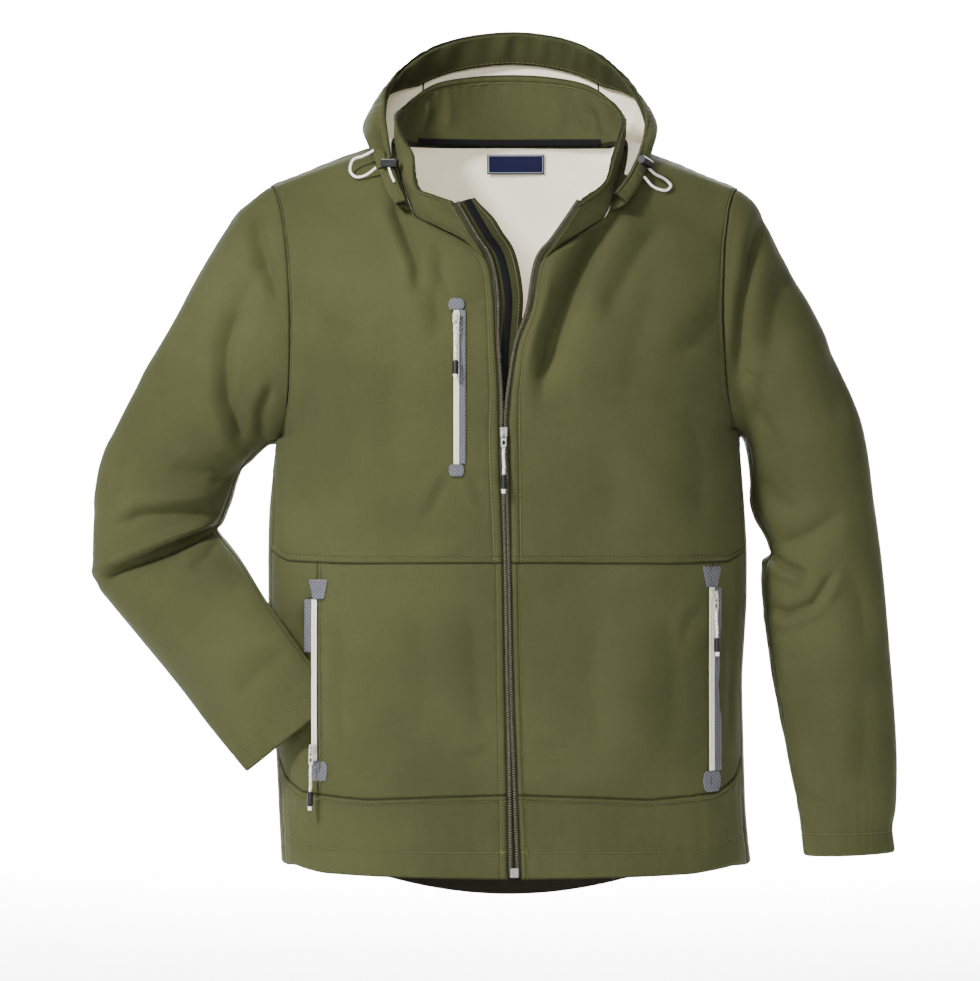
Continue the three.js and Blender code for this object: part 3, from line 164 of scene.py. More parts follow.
def front_table(seam: slice, *starts: tuple[float, float]) -> Table:
    """The rows of an upper front: where each starts, and its end as a side seam height or armhole angle.

    Args:
        seam: the collar's rows that the last rows start at.
        starts: the places across and the heights at which the rows below them start.

    Returns:
        The rows, with how closely each follows the shoulder line.
    """
    places = [(x, UNSET, z) for x, z in starts]
    places += zip(*(COLLAR[axis][seam] for axis in "xyz"))
    return table("x y z side armhole follow", *(start + end for start, end in zip(places, FRONT_ENDS)))


UPPER_FRONT = {
    Side.RIGHT: front_table(slice(7), (-7.1, -442), (-8.5, -395), (-10.5, -345), (-11, -307),
                            (-11.5, -287), (-12, -265), (-14.6, -221), (-16.5, -175)),
    Side.LEFT: front_table(slice(20, 13, -1), (0.8, -442), (0, -395), (-1, -345), (-2.2, -307),
                           (-1, -290), (0.8, -270), (8, -225), (21, -190)),
}
UPPER_BACK = table(
    "z armhole",
    (-321, 180),
    (-294, 164),
    (-268, 148),
    (-212, 120),
    (-158, 94),
    (-108, 68),
    (-68, 46),
    (-40, 25),
    (-24, 12),
    (-8.7, 0),
)
LOWER_BACK = np.concatenate(([-750, -720, -694, -666], np.arange(-638, -429, 26), [-388, -350.0]))
TAIL_DROP = 50.0
TAIL_WIDE = 205.0
TAIL_FROM, TAIL_OVER = -690, 60
FRONT_EDGE = table(
    "z right left", (-755, -2.2, 10.7), (-673, -3.4, 7.5), (-560, -5.4, 3.5), (-442, -7.1, 0.8)
)
LOWER_MIDDLE = -550.0
POCKET_COLUMN = 9
SIDE_COLUMN = 13
POCKET_LINE = {Side.RIGHT: -192.0, Side.LEFT: 203.0}
CHEST_SEAM = table("at z", (0, -442), (0.5, -443), (0.82, -441), (1, -430))
BAND_SEAM = table("at z", (0, -672), (0.4, -678), (0.74, -673), (0.9, -660), (1, -638))
HEM = table("at z", (0, -755), (0.6, -753), (0.85, -748), (1, -750))
PROUD, SUNK, PUSH_LOW, PUSH_HIGH = 7.0, 21.0, -655.0, -466.0
SLEEVE = {
    Side.RIGHT: table(
        "ox oy oz ix iy iz front back scoop",
        (-246, 0, -57, -239, 0, -321, 62, 62, 20),
        (-267, 2, -71, -242, 0, -323, 62, 62, 17),
        (-286, 4, -91, -247, 0, -324, 61, 61, 13),
        (-307, 8, -126, -252, 2, -327, 60, 59, 8),
        (-330, 12, -165, -258, 4, -332, 58, 57, 4),
        (-355, 16, -209, -266, 6, -340, 56, 55, 0),
        (-379, 20, -250, -274, 8, -350, 54, 54, 0),
        (-401, 22, -293, -281, 10, -363, 53, 53, 0),
        (-419, 24, -333, -286, 12, -379, 52, 52, 0),
        (-427, 24, -372, -291, 14, -391, 51, 51, 0),
        (-430, 22, -411, -295, 14, -401, 50, 50, 0),
        (-430, 18, -444, -298, 12, -407, 47, 49, 0),
        (-426, 14, -466, -299, 8, -411, 42, 48, 0),
        (-410, 6, -486, -290, -4, -422, 46, 45, 0),
        (-385, -4, -515, -269, -28, -447, 43, 38, 0),
        (-358, -16, -546, -247, -60, -479, 40, 28, 0),
        (-331, -30, -577, -224, -86, -509, 33, 16, 0),
        (-306, -46, -607, -202, -90, -540, 20, 12, 0),
        (-282, -58, -635, -189, -87, -557, 13, 10, 0),
        (-266, -66, -654, -175, -84, -581, 10, 9, 0),
    ),
    Side.LEFT: table(
        "ox oy oz ix iy iz front back scoop",
        (235, 0, -60, 236, 0, -312, 62, 62, 20),
        (252, 0, -74, 239, 0, -313.5, 62, 62, 17),
        (266, 1, -97, 242, 0, -316, 61, 61, 13),
        (278, 2, -124, 244, 0, -321, 60, 60, 8),
        (293, 3, -150, 245, 0, -328, 58, 58, 4),
        (309, 3, -178, 246, 0, -338, 57, 57, 0),
        (327, 4, -213, 246.5, 0, -351, 55, 55, 0),
        (347, 4, -256, 247.5, 0, -368, 53, 53, 0),
        (362, 3, -297, 249, 0, -385, 51, 51, 0),
        (370, 2, -339, 254, -2, -401, 50, 50, 0),
        (374, 1, -375, 262, -3, -416, 48, 49, 0),
        (379, 0, -411, 266, -4, -432, 46, 48, 0),
        (384, -3, -452, 259, -6, -455, 47, 47, 0),
        (388, -8, -495, 261, -10, -493, 45, 45, 0),
        (391, -13, -540, 266, -15, -537, 43, 42, 0),
        (394, -19, -588, 275, -21, -588, 41, 39, 0),
        (396, -25, -642, 284, -27, -645, 38, 36, 0),
        (395, -30, -692, 294, -32, -694, 35, 33, 0),
        (392, -33, -711, 296, -35, -713, 33, 31, 0),
        (393, -35, -737, 299, -37, -741, 31, 29, 0),
    ),
}
HOOD = table(
    "x y z ridgeX ridgeY ridgeZ sag lean",
    (-104, -90, -80, -113, -91, -83, 0, 0),
    (-112, -76, -60, -125, -72, -64, 4, 0),
    (-119, -52, -36, -137, -42, -31, 3, 0),
    (-124, -24, -8, -147, -4, -6, 8, -6),
    (-128, 12, 22, -150, 46, 4, 30, -16),
    (-125, 50, 52, -139, 105, -12, 70, -35),
    (-101, 83, 84, -108, 153, -50, 115, -55),
    (-60, 107, 107, -62, 180, -82, 145, -68),
    (3, 118, 117, 3, 190, -95, 155, -71),
    (64, 107, 107, 66, 180, -82, 145, -68),
    (105, 83, 82, 112, 153, -50, 115, -55),
    (130, 50, 47, 142, 105, -12, 70, -35),
    (139, 12, 14, 152, 46, 2, 34, -16),
    (136, -20, -13, 149, -4, -9, 14, -6),
    (128, -48, -34, 139, -38, -36, 6, 0),
    (118, -72, -54, 128, -70, -62, 3, 0),
    (105, -88, -72, 115, -91, -82, 0, 0),
)
HOOD_FIRST, HOOD_LAST, HOOD_OUT, HOOD_UP = 3.0, 17.0, 5.5, 4.4
HOOD_CLOTH = 1.8
PANEL_FROM, PANEL_TO = 0.4, 0.6


def mix(a: Array | float, b: Array | float, t: Array | float) -> Array | float:
    """The value a share t of the way from a to b."""
    return a + (b - a) * t


def smooth(value: Array | float) -> Array:
    """A soft step from 0 to 1 as the value goes from 0 to 1."""
    held = np.clip(value, 0, 1)
    return held**2 * (3 - 2 * held)


def spline(points: Array, places: Array) -> Array:
    """Catmull-Rom curve through the rows of an array, with straight ends.

    Args:
        points: the values to pass through, along the first axis.
        places: where to read, counted in rows.

    Returns:
        One value for each place.
    """
    ends = (2 * points[:1] - points[1:2], points, 2 * points[-1:] - points[-2:-1])
    held = np.concatenate(ends)
    i = np.clip(np.floor(places).astype(int), 0, len(points) - 2)
    t = (places - i).reshape((-1,) + (1,) * (points.ndim - 1))
    a, b, c, d = (held[i + k] for k in range(4))
    return 0.5 * (2 * b + (c - a) * t + (2 * a - 5 * b + 4 * c - d) * t**2 + (3 * b - a - 3 * c + d) * t**3)


def along(rows: Table, name: str, place: Array) -> Array:
    """A smooth curve through a named column, read at places counted in rows, for an array of any shape."""
    return spline(rows[name], np.ravel(place)).reshape(np.shape(place))


def stack(x: Array, y: Array, z: Array) -> Array:
    """Joins three arrays into points, after they are brought to one shape."""
    return np.stack(np.broadcast_arrays(x, y, z), axis=-1)


def unit(vectors: Array) -> Array:
    """Vectors brought to length 1."""
    return vectors / np.maximum(np.linalg.norm(vectors, axis=-1, keepdims=True), 1e-9)


def uv_places(down: Array, across: Array) -> Array:
    """A UV place for each point of a grid, from the places of its rows and columns."""
    v, u = np.meshgrid(down, across, indexing="ij")
    return np.stack((u, v), -1).reshape(-1, 2)


def length(vectors: Array) -> Array:
    """The lengths of vectors."""
    return np.linalg.norm(vectors, axis=-1)


def run_of(path: Array) -> Array:
    """How far along a path each of its points lies."""
    return np.concatenate(([0], np.cumsum(np.linalg.norm(np.diff(path, axis=0), axis=1))))


def read_along(values: Array, run: Array, places: Array) -> Array:
    """Reads points or directions, given at distances along a path, at other distances."""
    return np.stack([np.interp(places, run, values[:, i]) for i in range(3)], -1)


def body_at(name: str, z: Array) -> Array:
    """A column of the body's table at a height."""
    return np.interp(z, BODY["z"], BODY[name])


def body_half(x: Array, z: Array) -> Array:
    """Half the body's width at a height, on the side that x lies on."""
    return np.where(x < 0, body_at("right", z), body_at("left", z))


def shoulder_line(x: Array) -> Array:
    """The height of the shoulder: level to a bend, then down a slope, as a hyperbola."""
    bend = np.where(x < 0, SHOULDER[Side.RIGHT][0], SHOULDER[Side.LEFT][0])
    slope = np.where(x < 0, SHOULDER[Side.RIGHT][1], SHOULDER[Side.LEFT][1])
    past = np.abs(x) - bend
    return SHOULDER_TOP - slope * (np.hypot(past, SHOULDER_BEND) + past) / 2


def body_depth(x: Array, z: Array, facing: int) -> Array:
    """The body's surface: a superellipse in level section, rounded off towards the shoulder line.

    Args:
        x: places across the body.
        z: heights.
        facing: -1 in front and 1 behind.

    Returns:
        The depths, Y.
    """
    reach = body_at("front" if facing < 0 else "back", z)
    section = np.maximum(0, 1 - np.abs(x / body_half(x, z)) ** ROUND) ** (1 / ROUND)
    below = np.clip((shoulder_line(x) - z) / SHOULDER_FALL, 0, 1)
    power = 1.8 if facing < 0 else mix(1.2, 1.8, smooth(np.abs(x) / 130))
    rounding = (1 - (1 - below) ** power) ** (1 / power)
    if facing < 0:
        return -reach * section * rounding
    neck = NECK_BACK * np.sqrt(np.maximum(0, 1 - (x / NECK_HALF) ** 2))
    return mix(neck, reach * section, rounding)


def armhole_point(side: Side, degrees: Array) -> Array:
    """The armhole by the angle down from the shoulder: an upright ellipse, scooped in at its middle."""
    top_x, top_z, low_x, low_z = ARMHOLE[side]
    angle = np.radians(degrees)
    t = (1 - np.cos(angle)) / 2
    scoop = -side.sign * ARMHOLE_SCOOP * np.abs(np.sin(angle))
    return stack(mix(top_x, low_x, t) + scoop, -ARMHOLE_DEPTH * np.sin(angle), mix(top_z, low_z, t))


def body_round(degrees: Array, z: Array, side: Side) -> Array:
    """A level section by the angle round from the centre back: a superellipse."""
    angle = np.radians(degrees)
    half = body_at(side.value, z) * side.sign
    front = np.cos(angle) < 0
    reach = np.where(front, body_at("front", z), body_at("back", z))
    x = half * np.abs(np.sin(angle)) ** (2 / ROUND)
    y = np.where(front, -1, 1) * reach * np.abs(np.cos(angle)) ** (2 / ROUND)
    return stack(x, y, z)


def seam_turn(side: Side, z: Array) -> Array:
    """The angle of the side seam at a height."""
    return 90 + SIDE_TURN * smooth((ARMHOLE[side][3] - z) / 60)


def turn_of(x: Array, half: Array) -> Array:
    """The angle round the body at which a place across it lies."""
    return np.arcsin(np.minimum(1, np.abs(x / half)) ** (ROUND / 2)) * np.where(x < 0, -1, 1)


def pocket_push(side: Side, lip: Lip, x: Array, z: Array) -> Array:
    """How far the open right pocket moves the cloth in or out: a soft bump along the slit."""
    if side is Side.LEFT or lip is Lip.PLAIN:
        return np.zeros(np.broadcast(x, z).shape)
    middle = smooth((z - PUSH_LOW) / 45) * smooth((PUSH_HIGH - z) / 45)
    off = x - POCKET_LINE[Side.RIGHT]
    if lip is Lip.FRONT:
        return -PROUD * middle * (1 - smooth(off / 70))
    return SUNK * middle * (1 - smooth(-off / 41))


def column_share(side: Side, column: Array, z: Array) -> Array:
    """The share of the way to the side seam at which a column of the lower front lies."""
    half = body_at(side.value, z)
    seam = body_round(seam_turn(side, z), z, side)[..., 0]
    slit = np.abs(turn_of(POCKET_LINE[side], half)) / np.abs(turn_of(seam, half))
    past = mix(slit, 1, (column - POCKET_COLUMN) / (SIDE_COLUMN - POCKET_COLUMN))
    return np.where(column <= POCKET_COLUMN, slit * column / POCKET_COLUMN, past)


def lower_spot(side: Side, lip: Lip, column: Array, low: Table, high: Table, up: Array) -> Array:
    """Points of the lower front, by column and by share of the way up from one seam to another."""
    guess = column_share(side, column, np.full(np.shape(column), LOWER_MIDDLE))
    z = mix(np.interp(guess, low["at"], low["z"]), np.interp(guess, high["at"], high["z"]), up)
    column = np.broadcast_to(column, z.shape)
    share = column_share(side, column, z)
    edge = np.interp(z, FRONT_EDGE["z"], FRONT_EDGE[side.value])
    half = body_at(side.value, z)
    seam = body_round(seam_turn(side, z), z, side)
    angle = mix(turn_of(edge, half) * side.sign, np.abs(turn_of(seam[..., 0], half)), share)
    x = side.sign * half * np.sign(angle) * np.abs(np.sin(angle)) ** (2 / ROUND)
    y = np.where(share > 0.9999, seam[..., 1], body_depth(x, z, -1))
    return stack(x, y + pocket_push(side, lip, x, z), z)


def upper_front(side: Side, count: int) -> Array:
    """The upper front as rows from the front edge to the side seam or armhole.

    Each row is spread evenly by the angle round the body, bent to the shoulder line near the top, and eased
    to the neck seam and the armhole.
    """
    rows = UPPER_FRONT[side]
    seam = body_round(seam_turn(side, rows["side"]), rows["side"], side)
    hole = armhole_point(side, rows["armhole"])
    end = np.where(np.isnan(rows["armhole"])[:, None], seam, hole)[:, None, :]
    start_x, start_y, start_z = (rows[name][:, None] for name in ("x", "y", "z"))
    follow = rows["follow"][:, None]
    t = np.linspace(0, 1, count + 1)[None, :]
    half = body_at(side.value, (start_z + end[..., 2]) / 2)
    angle = mix(turn_of(start_x, half), turn_of(end[..., 0], half), t)
    x = half * np.abs(np.sin(angle)) ** (2 / ROUND) * np.sign(angle)
    share = (x - start_x) / (end[..., 0] - start_x)
    drop = mix(shoulder_line(start_x) - start_z, shoulder_line(end[..., 0]) - end[..., 2], share)
    z = mix(mix(start_z, end[..., 2], share), shoulder_line(x) - drop, follow)
    y = body_depth(x, z, -1)
    start_off = np.where(np.isnan(start_y), 0, start_y - y[:, :1])
    y = y + start_off * (1 - t) ** 3 + (end[..., 1] - y[:, -1:]) * t**4
    grid = stack(x, y, z)
    grid[:, -1] = end[:, 0]
    grid[0] = lower_spot(side, Lip.PLAIN, t[0] * SIDE_COLUMN, CHEST_SEAM, CHEST_SEAM, np.zeros(count + 1))
    grid[-1, :, 1] = 0
    return grid


def back_grid(times: int) -> Array:
    """The back from the tail to the shoulder and neck seams.

    Below the underarm a row is a level section from side seam to side seam, let down in the middle for the
    tail. Above it a row runs from armhole to armhole and settles towards the neck seam's shape.
    """
    neck = COLLAR["x"][6:15]
    whole = len(neck) - 1 + 6
    ends_x = (ARMHOLE[Side.RIGHT][0], ARMHOLE[Side.LEFT][0])
    seam_x = np.concatenate((
        mix(ends_x[0], neck[0], np.arange(3) / 3),
        neck,
        mix(neck[-1], ends_x[1], np.arange(1, 4) / 3),
    ))
    place = np.arange(whole * times + 1) / times
    seam_x = np.interp(place, np.arange(whole + 1), seam_x)
    share = 2 * place / whole - 1
    left = share >= 0
    z = LOWER_BACK[:, None]
    low = []
    for side in Side:
        turn = np.abs(share) * seam_turn(side, z)
        flat = body_round(turn, np.broadcast_to(z, turn.shape), side)
        tail = np.maximum(0, 1 - (flat[..., 0] / TAIL_WIDE) ** 2) * (flat[..., 1] > 0)
        low.append(body_round(turn, z - TAIL_DROP * smooth((TAIL_FROM - z) / TAIL_OVER) * tail, side))
    lower = np.where(left[None, :, None], low[1], low[0])
    rows = np.linspace(0, len(UPPER_BACK["z"]) - 1, 3 * len(UPPER_BACK["z"]) - 2)
    level = along(UPPER_BACK, "z", rows)[:, None]
    holes = [armhole_point(side, 360 - along(UPPER_BACK, "armhole", rows)) for side in Side]
    end = np.where(left[None, :, None], holes[1][:, None], holes[0][:, None])
    half = np.where(left, *(body_at(s.value, level) for s in (Side.LEFT, Side.RIGHT)))
    reach = np.arcsin(np.minimum(1, np.abs(end[..., 0]) / half) ** (ROUND / 2))
    even = np.sign(share) * half * np.sin(reach * np.abs(share)) ** (2 / ROUND)
    settle = smooth(np.arange(len(level)) / (len(level) - 1))[:, None]
    x = mix(even, seam_x, settle)
    x[:, 0], x[:, -1] = end[:, 0, 0], end[:, -1, 0]
    middle_drop, end_drop = shoulder_line(np.zeros(1)) - level, shoulder_line(end[..., 0]) - end[..., 2]
    drop = mix(middle_drop, end_drop, (x / end[..., 0]) ** 2)
    z = shoulder_line(x) - drop
    off = end[..., 1] - body_depth(end[..., 0], end[..., 2], 1)
    y = body_depth(x, z, 1) + off * (x / end[..., 0]) ** 6
    y[-1] = np.where(np.abs(x[-1]) >= NECK_HALF, 0, y[-1])
    return np.concatenate((lower, stack(x, y, z)))


def sleeve_grid(side: Side, angles: Array, rows: int) -> Array:
    """A sleeve piece: sections from armhole to cuff, each an ellipse on its outer and inner edge."""
    place = np.linspace(0, 19, rows + 1)[:, None]
    read = {name: along(SLEEVE[side], name, place) for name in SLEEVE[side]}
    angle = np.radians(angles)[None, :]
    t = (1 - np.cos(angle)) / 2
    swell = np.sin(angle)
    depth = np.where(swell > 0, read["front"], read["back"])
    scoop = -side.sign * np.maximum(read["scoop"], 0) * np.abs(swell)
    x = mix(read["ox"], read["ix"], t) + scoop
    return stack(x, mix(read["oy"], read["iy"], t) - depth * swell, mix(read["oz"], read["iz"], t))


def collar_point(place: Array, t: Array, swell: float = 3.0) -> Array:
    """The collar from the neck seam (0) to its upper edge (1), straight with a slight swell outwards."""
    x, y, z, top_x, top_y, top_z = (along(COLLAR, n, place) for n in ("x", "y", "z", "topX", "topY", "topZ"))
    out = unit(stack(x, y + 10, 0 * x)) * (swell * np.sin(np.pi * t))[..., None]
    return stack(mix(x, top_x, t), mix(y, top_y, t), mix(z, top_z, t)) + out


def hood_point(share: Array, t: Array) -> Array:
    """The hood's fleece side: a cubic Bezier curve from the rim over the ridge down to the neck seam."""
    share, t = np.broadcast_arrays(share, t)
    place = share * (len(HOOD["x"]) - 1)
    read = {name: along(HOOD, name, place) for name in HOOD}
    neck = collar_point(mix(HOOD_FIRST, HOOD_LAST, share), np.zeros(share.shape), 0)
    away = unit(stack(neck[..., 0], neck[..., 1] + 10, 0 * share)) * HOOD_OUT
    neck = neck + away + np.array([0, 0, HOOD_UP])
    rim = stack(read["x"], read["y"], read["z"])
    ridge = stack(read["ridgeX"], read["ridgeY"], read["ridgeZ"])
    middle = (8 * ridge - rim - neck) / 6
    hang = stack(0 * share, read["lean"], read["sag"])
    p, q = middle + hang, middle - hang
    t = t[..., None]
    return rim * (1 - t) ** 3 + 3 * p * t * (1 - t) ** 2 + 3 * q * t**2 * (1 - t) + neck * t**3


def hood_out(share: Array, t: Array) -> Array:
    """The direction in which the hood's outer side faces."""
    s, r = np.clip(share, 0.005, 0.995), np.clip(t, 0.005, 0.995)
    across = hood_point(s + 0.004, r) - hood_point(s - 0.004, r)
    down = hood_point(s, r + 0.004) - hood_point(s, r - 0.004)
    return unit(np.cross(across, down))


FOLD_DEPTH = 1.5
UNSEWN = 99.0
EDGELESS = 9.0


@dataclass(frozen=True)
class Fold:
    """A crease or a soft wave in the cloth, followed as the camera sees it in picture points.

    Attributes:
        line: the places that it passes.
        wide: its half width.
        deep: how far it goes in, or out where it is negative, in millimetres.
        behind: how strong it is on the side away from the camera.
        ridge: the height of the ridge beside it, as a share of its depth.
    """

    line: tuple[tuple[float, float], ...]
    wide: float
    deep: float
    behind: float
    ridge: float

    def height(self, seen: Array, back: Array) -> Array:
        """The cloth's height over its smooth form.

        It is a trough that decays as exp(-|off|), with a bell-shaped ridge beside it. The ridge stands on the
        viewer's left of a line that runs down the picture.

        Args:
            seen: the cloth's points in the picture.
            back: 1 where the cloth faces away from the camera, 0 where it faces it.

        Returns:
            Heights in millimetres.
        """
        line = np.array(self.line, float)
        starts, steps = line[:-1], np.diff(line, axis=0)
        lengths = np.linalg.norm(steps, axis=1)
        run = np.concatenate(([0], np.cumsum(lengths)))
        rel = seen[..., None, :] - starts
        t = np.clip((rel * steps).sum(-1) / lengths**2, 0, 1)
        gap = rel - t[..., None] * steps
        near = length(gap)
        pick = near.argmin(-1)[..., None]
        side = np.sign(steps[:, 0] * rel[..., 1] - steps[:, 1] * rel[..., 0])
        off = np.take_along_axis(near * side, pick, -1)[..., 0] / self.wide
        spot = np.take_along_axis(run[:-1] + t * lengths, pick, -1)[..., 0] / run[-1]
        ends = smooth(spot / 0.25) * smooth((1 - spot) / 0.25)
        past = np.take_along_axis(near, pick, -1)[..., 0] / self.wide
        trough = np.exp(-1.7 * (np.sqrt(past**2 + 0.09) - 0.3))
        shape = trough - self.ridge * np.exp(-(((off - 1.9) / 1.2) ** 2)) * (past < 5)
        return -FOLD_DEPTH * self.deep * shape * np.maximum(ends, 0.02) * mix(1, self.behind, back)


CAMERA = (-20.0, -3500.0, -370.0)
FOCUS = 3400.0
MIDDLE = (490.0, 490.5)
PICTURE_WIDE = 980
SENSOR = 36.0


def as_seen(points: Array) -> Array:
    """Where points fall in the picture, which is 980 points wide."""
    k = (points[..., 1] - CAMERA[1]) / FOCUS
    across = MIDDLE[0] + (points[..., 0] - CAMERA[0]) / k
    return np.stack((across, MIDDLE[1] - (points[..., 2] - CAMERA[2]) / k), axis=-1)


def unevenness(points: Array, seed: int, long: float, high: float) -> Array:
    """Slow unevenness of hung cloth: a few seeded sine waves with stretched, mostly upright crests."""
    random = np.random.default_rng(seed)
    total = np.zeros(points.shape[:-1])
    for _ in range(6):
        way = random.normal(size=3) * np.array([1.0, 0.8, 0.45])
        total += np.sin(points @ (way / long * 2) + random.uniform(0, 2 * np.pi))
    return high * total / 3


@dataclass(frozen=True)
class Finish:
    """How the low, high, start and end edges of a cloth piece are sewn.

    Attributes:
        low, high, start, end: how far in each edge's topstitching lies, or 0 for none.
        pucker: how high the cloth puckers along it.
        round_off: how far an edge drops.
        bead: how full the cloth stands between an edge and its topstitching.
        turned: how far the outer cloth is turned in over the lining at each edge.
        tuck: how far each edge reaches over the seam, so that no light shows through it.
    """

    low: float = 0.0
    high: float = 0.0
    start: float = 0.0
    end: float = 0.0
    pucker: float = 0.26
    round_off: float = 1.4
    bead: float = 1.0
    turned: Four = (3.0, 3.0, 3.0, 3.0)
    tuck: Four = (0.5, 0.5, 0.5, 0.5)


NEAR_EDGE = np.array([0, 0.5, 1.2, 2.4, 3.7, 4.6, 5.2, 5.8, 6.6, 8, 10.5])
EDGE_ZONE = 14
NARROW = 34
NARROW_STEP = 1.1
CALM_FROM, CALM_OVER = 13, 30


def spacing(total: float, step: float) -> Array:
    """Places along a length: close together near both ends and evenly spread between them."""
    if total < NARROW:
        return np.linspace(0, total, max(3, int(total / NARROW_STEP)))
    count = max(2, int((total - 2 * EDGE_ZONE) / step))
    inner = np.linspace(EDGE_ZONE, total - EDGE_ZONE, count)
    return np.concatenate((NEAR_EDGE, inner, total - NEAR_EDGE[::-1]))


def refine(grid: Array, step: float) -> tuple[Array, Array, Array]:
    """Reads a coarse grid of points at finer places through smooth curves both ways.

    Args:
        grid: points by row and column.
        step: the distance between the new rows and columns, in millimetres.

    Returns:
        The fine grid, and the mean distance along it of each new row and each new column.
    """
    down = length(np.diff(grid, axis=0)).mean(1)
    across = length(np.diff(grid, axis=1)).mean(0)
    run_down, run_across = (np.concatenate(([0], np.cumsum(gaps))) for gaps in (down, across))
    rows, columns = spacing(run_down[-1], step), spacing(run_across[-1], step)
    fine = spline(grid, np.interp(rows, run_down, np.arange(len(run_down))))
    turned = spline(fine.swapaxes(0, 1), np.interp(columns, run_across, np.arange(len(run_across))))
    return turned.swapaxes(0, 1), rows, columns


def calm(grid: Array, rows: Array, columns: Array, times: int) -> Array:
    """Smooths the inside of a fine grid: each point goes towards the mean of its neighbours, the edges stay.

    Args:
        grid: points by row and column.
        rows: the distance of each row along the grid.
        columns: the distance of each column along the grid.
        times: how often it is done.

    Returns:
        The smoothed grid.
    """
    down, across = np.meshgrid(rows, columns, indexing="ij")
    inside = np.minimum.reduce([down, rows[-1] - down, across, columns[-1] - across])
    share = 0.5 * smooth((inside - CALM_FROM) / CALM_OVER)[1:-1, 1:-1, None]
    calmed = grid.copy()
    for _ in range(times):
        mean = (calmed[2:, 1:-1] + calmed[:-2, 1:-1] + calmed[1:-1, 2:] + calmed[1:-1, :-2]) / 4
        calmed[1:-1, 1:-1] += share * (mean - calmed[1:-1, 1:-1])
    return calmed


def cut_sizes(grid: Array) -> Triple:
    """The flat size of a piece of cloth: the mean length of its rows and columns, and its area, in metres.

    The area sums half the cross product of each quad's diagonals. Both lengths grow until they hold it.
    """
    wide = length(np.diff(grid, axis=1)).sum(1).mean() * MM
    long = length(np.diff(grid, axis=0)).sum(0).mean() * MM
    crossed = np.cross(grid[1:, 1:] - grid[:-1, :-1], grid[1:, :-1] - grid[:-1, 1:])
    area = length(crossed).sum() / 2 * MM * MM
    more = max(1.0, math.sqrt(area / (wide * long)))
    return float(wide * more), float(long * more), float(area)


def state_cut(thing: Thing, grid: Array) -> None:
    """Logs the flat size of a piece of cloth: the size of the grid that it is made on."""
    wide, long, area = cut_sizes(grid)
    LOG.info("%s: cut %.3f x %.3f m, %.4f square metres", thing.name, wide, long, area)


def tuck_edges(grid: Array, reach: Four) -> Array:
    """Moves the low, high, start and end edges of a grid outwards by lengths, along the grid."""
    moved = grid.copy()
    moved[0] += unit(grid[0] - grid[2]) * reach[0]
    moved[-1] += unit(grid[-1] - grid[-3]) * reach[1]
    moved[:, 0] += unit(grid[:, 0] - grid[:, 2]) * reach[2]
    moved[:, -1] += unit(grid[:, -1] - grid[:, -3]) * reach[3]
    return moved


def normals(grid: Array) -> Array:
    """The directions across a grid, from the differences between its neighbours both ways."""
    down = np.gradient(grid, axis=0)
    across = np.gradient(grid, axis=1)
    return unit(np.cross(down, across))


def put(thing: Thing) -> None:
    """Puts an object into the scene."""
    bpy.context.scene.collection.objects.link(thing)


def new_mesh(name: str, points: Array, faces: Array, slots: Array | None = None) -> Thing:
    """Makes a mesh object from points in millimetres and quads.

    Args:
        name: the object's name.
        points: one row for each vertex.
        faces: one row of four vertex numbers for each face.
        slots: the number of each face's material.

    Returns:
        The new object, at the origin.
    """
    mesh = bpy.data.meshes.new(name)
    mesh.vertices.add(len(points))
    mesh.vertices.foreach_set("co", (points * MM).ravel())
    mesh.loops.add(faces.size)
    mesh.loops.foreach_set("vertex_index", faces.ravel().astype(np.int32))
    mesh.polygons.add(len(faces))
    mesh.polygons.foreach_set("loop_start", np.arange(len(faces), dtype=np.int32) * 4)
    if slots is not None:
        mesh.polygons.foreach_set("material_index", slots.astype(np.int32))
    mesh.update(calc_edges=True)
    mesh.polygons.foreach_set("use_smooth", np.ones(len(faces), bool))
    thing = bpy.data.objects.new(name, mesh)
    put(thing)
    return thing


def set_values(thing: Thing, name: str, values: Array) -> None:
    """Writes a number for each vertex of a mesh."""
    kept = thing.data.attributes.new(name, "FLOAT", "POINT")
    kept.data.foreach_set("value", np.ascontiguousarray(values, np.float32).ravel())


def set_uv(thing: Thing, uv: Array) -> None:
    """Writes a UV place for each vertex of a mesh."""
    mesh = thing.data
    layer = mesh.uv_layers.new(name="UVMap")
    index = np.empty(len(mesh.loops), np.int32)
    mesh.loops.foreach_get("vertex_index", index)
    layer.data.foreach_set("uv", uv[index].astype(np.float32).ravel())


def set_sewing(thing: Thing, stitch: Array, run: Array, edge: Array) -> None:
    """Writes each vertex's distance to the stitching, place along it and distance to the nearest edge."""
    for name, values in (("stitch", stitch), ("run", run), ("edge", edge)):
        set_values(thing, name, values)


def grid_faces(rows: int, columns: int, shift: int = 0, ring: bool = False) -> Array:
    """The quads of a grid of vertices, row by row."""
    spans = columns if ring else columns - 1
    i, j = np.meshgrid(np.arange(rows - 1), np.arange(spans), indexing="ij")
    k = (j + 1) % columns
    quads = np.stack((i * columns + j, i * columns + k, (i + 1) * columns + k, (i + 1) * columns + j), -1)
    return quads.reshape(-1, 4) + shift


def rim_faces(rows: int, columns: int) -> Array:
    """The quads that join the edges of an outer grid to those of an inner grid behind it."""
    count = rows * columns
    ids = np.arange(count).reshape(rows, columns)
    loop = np.concatenate((ids[0, :], ids[1:, -1], ids[-1, -2::-1], ids[-2:0:-1, 0]))
    after = np.roll(loop, -1)
    return np.stack((loop, loop + count, after + count, after), -1)


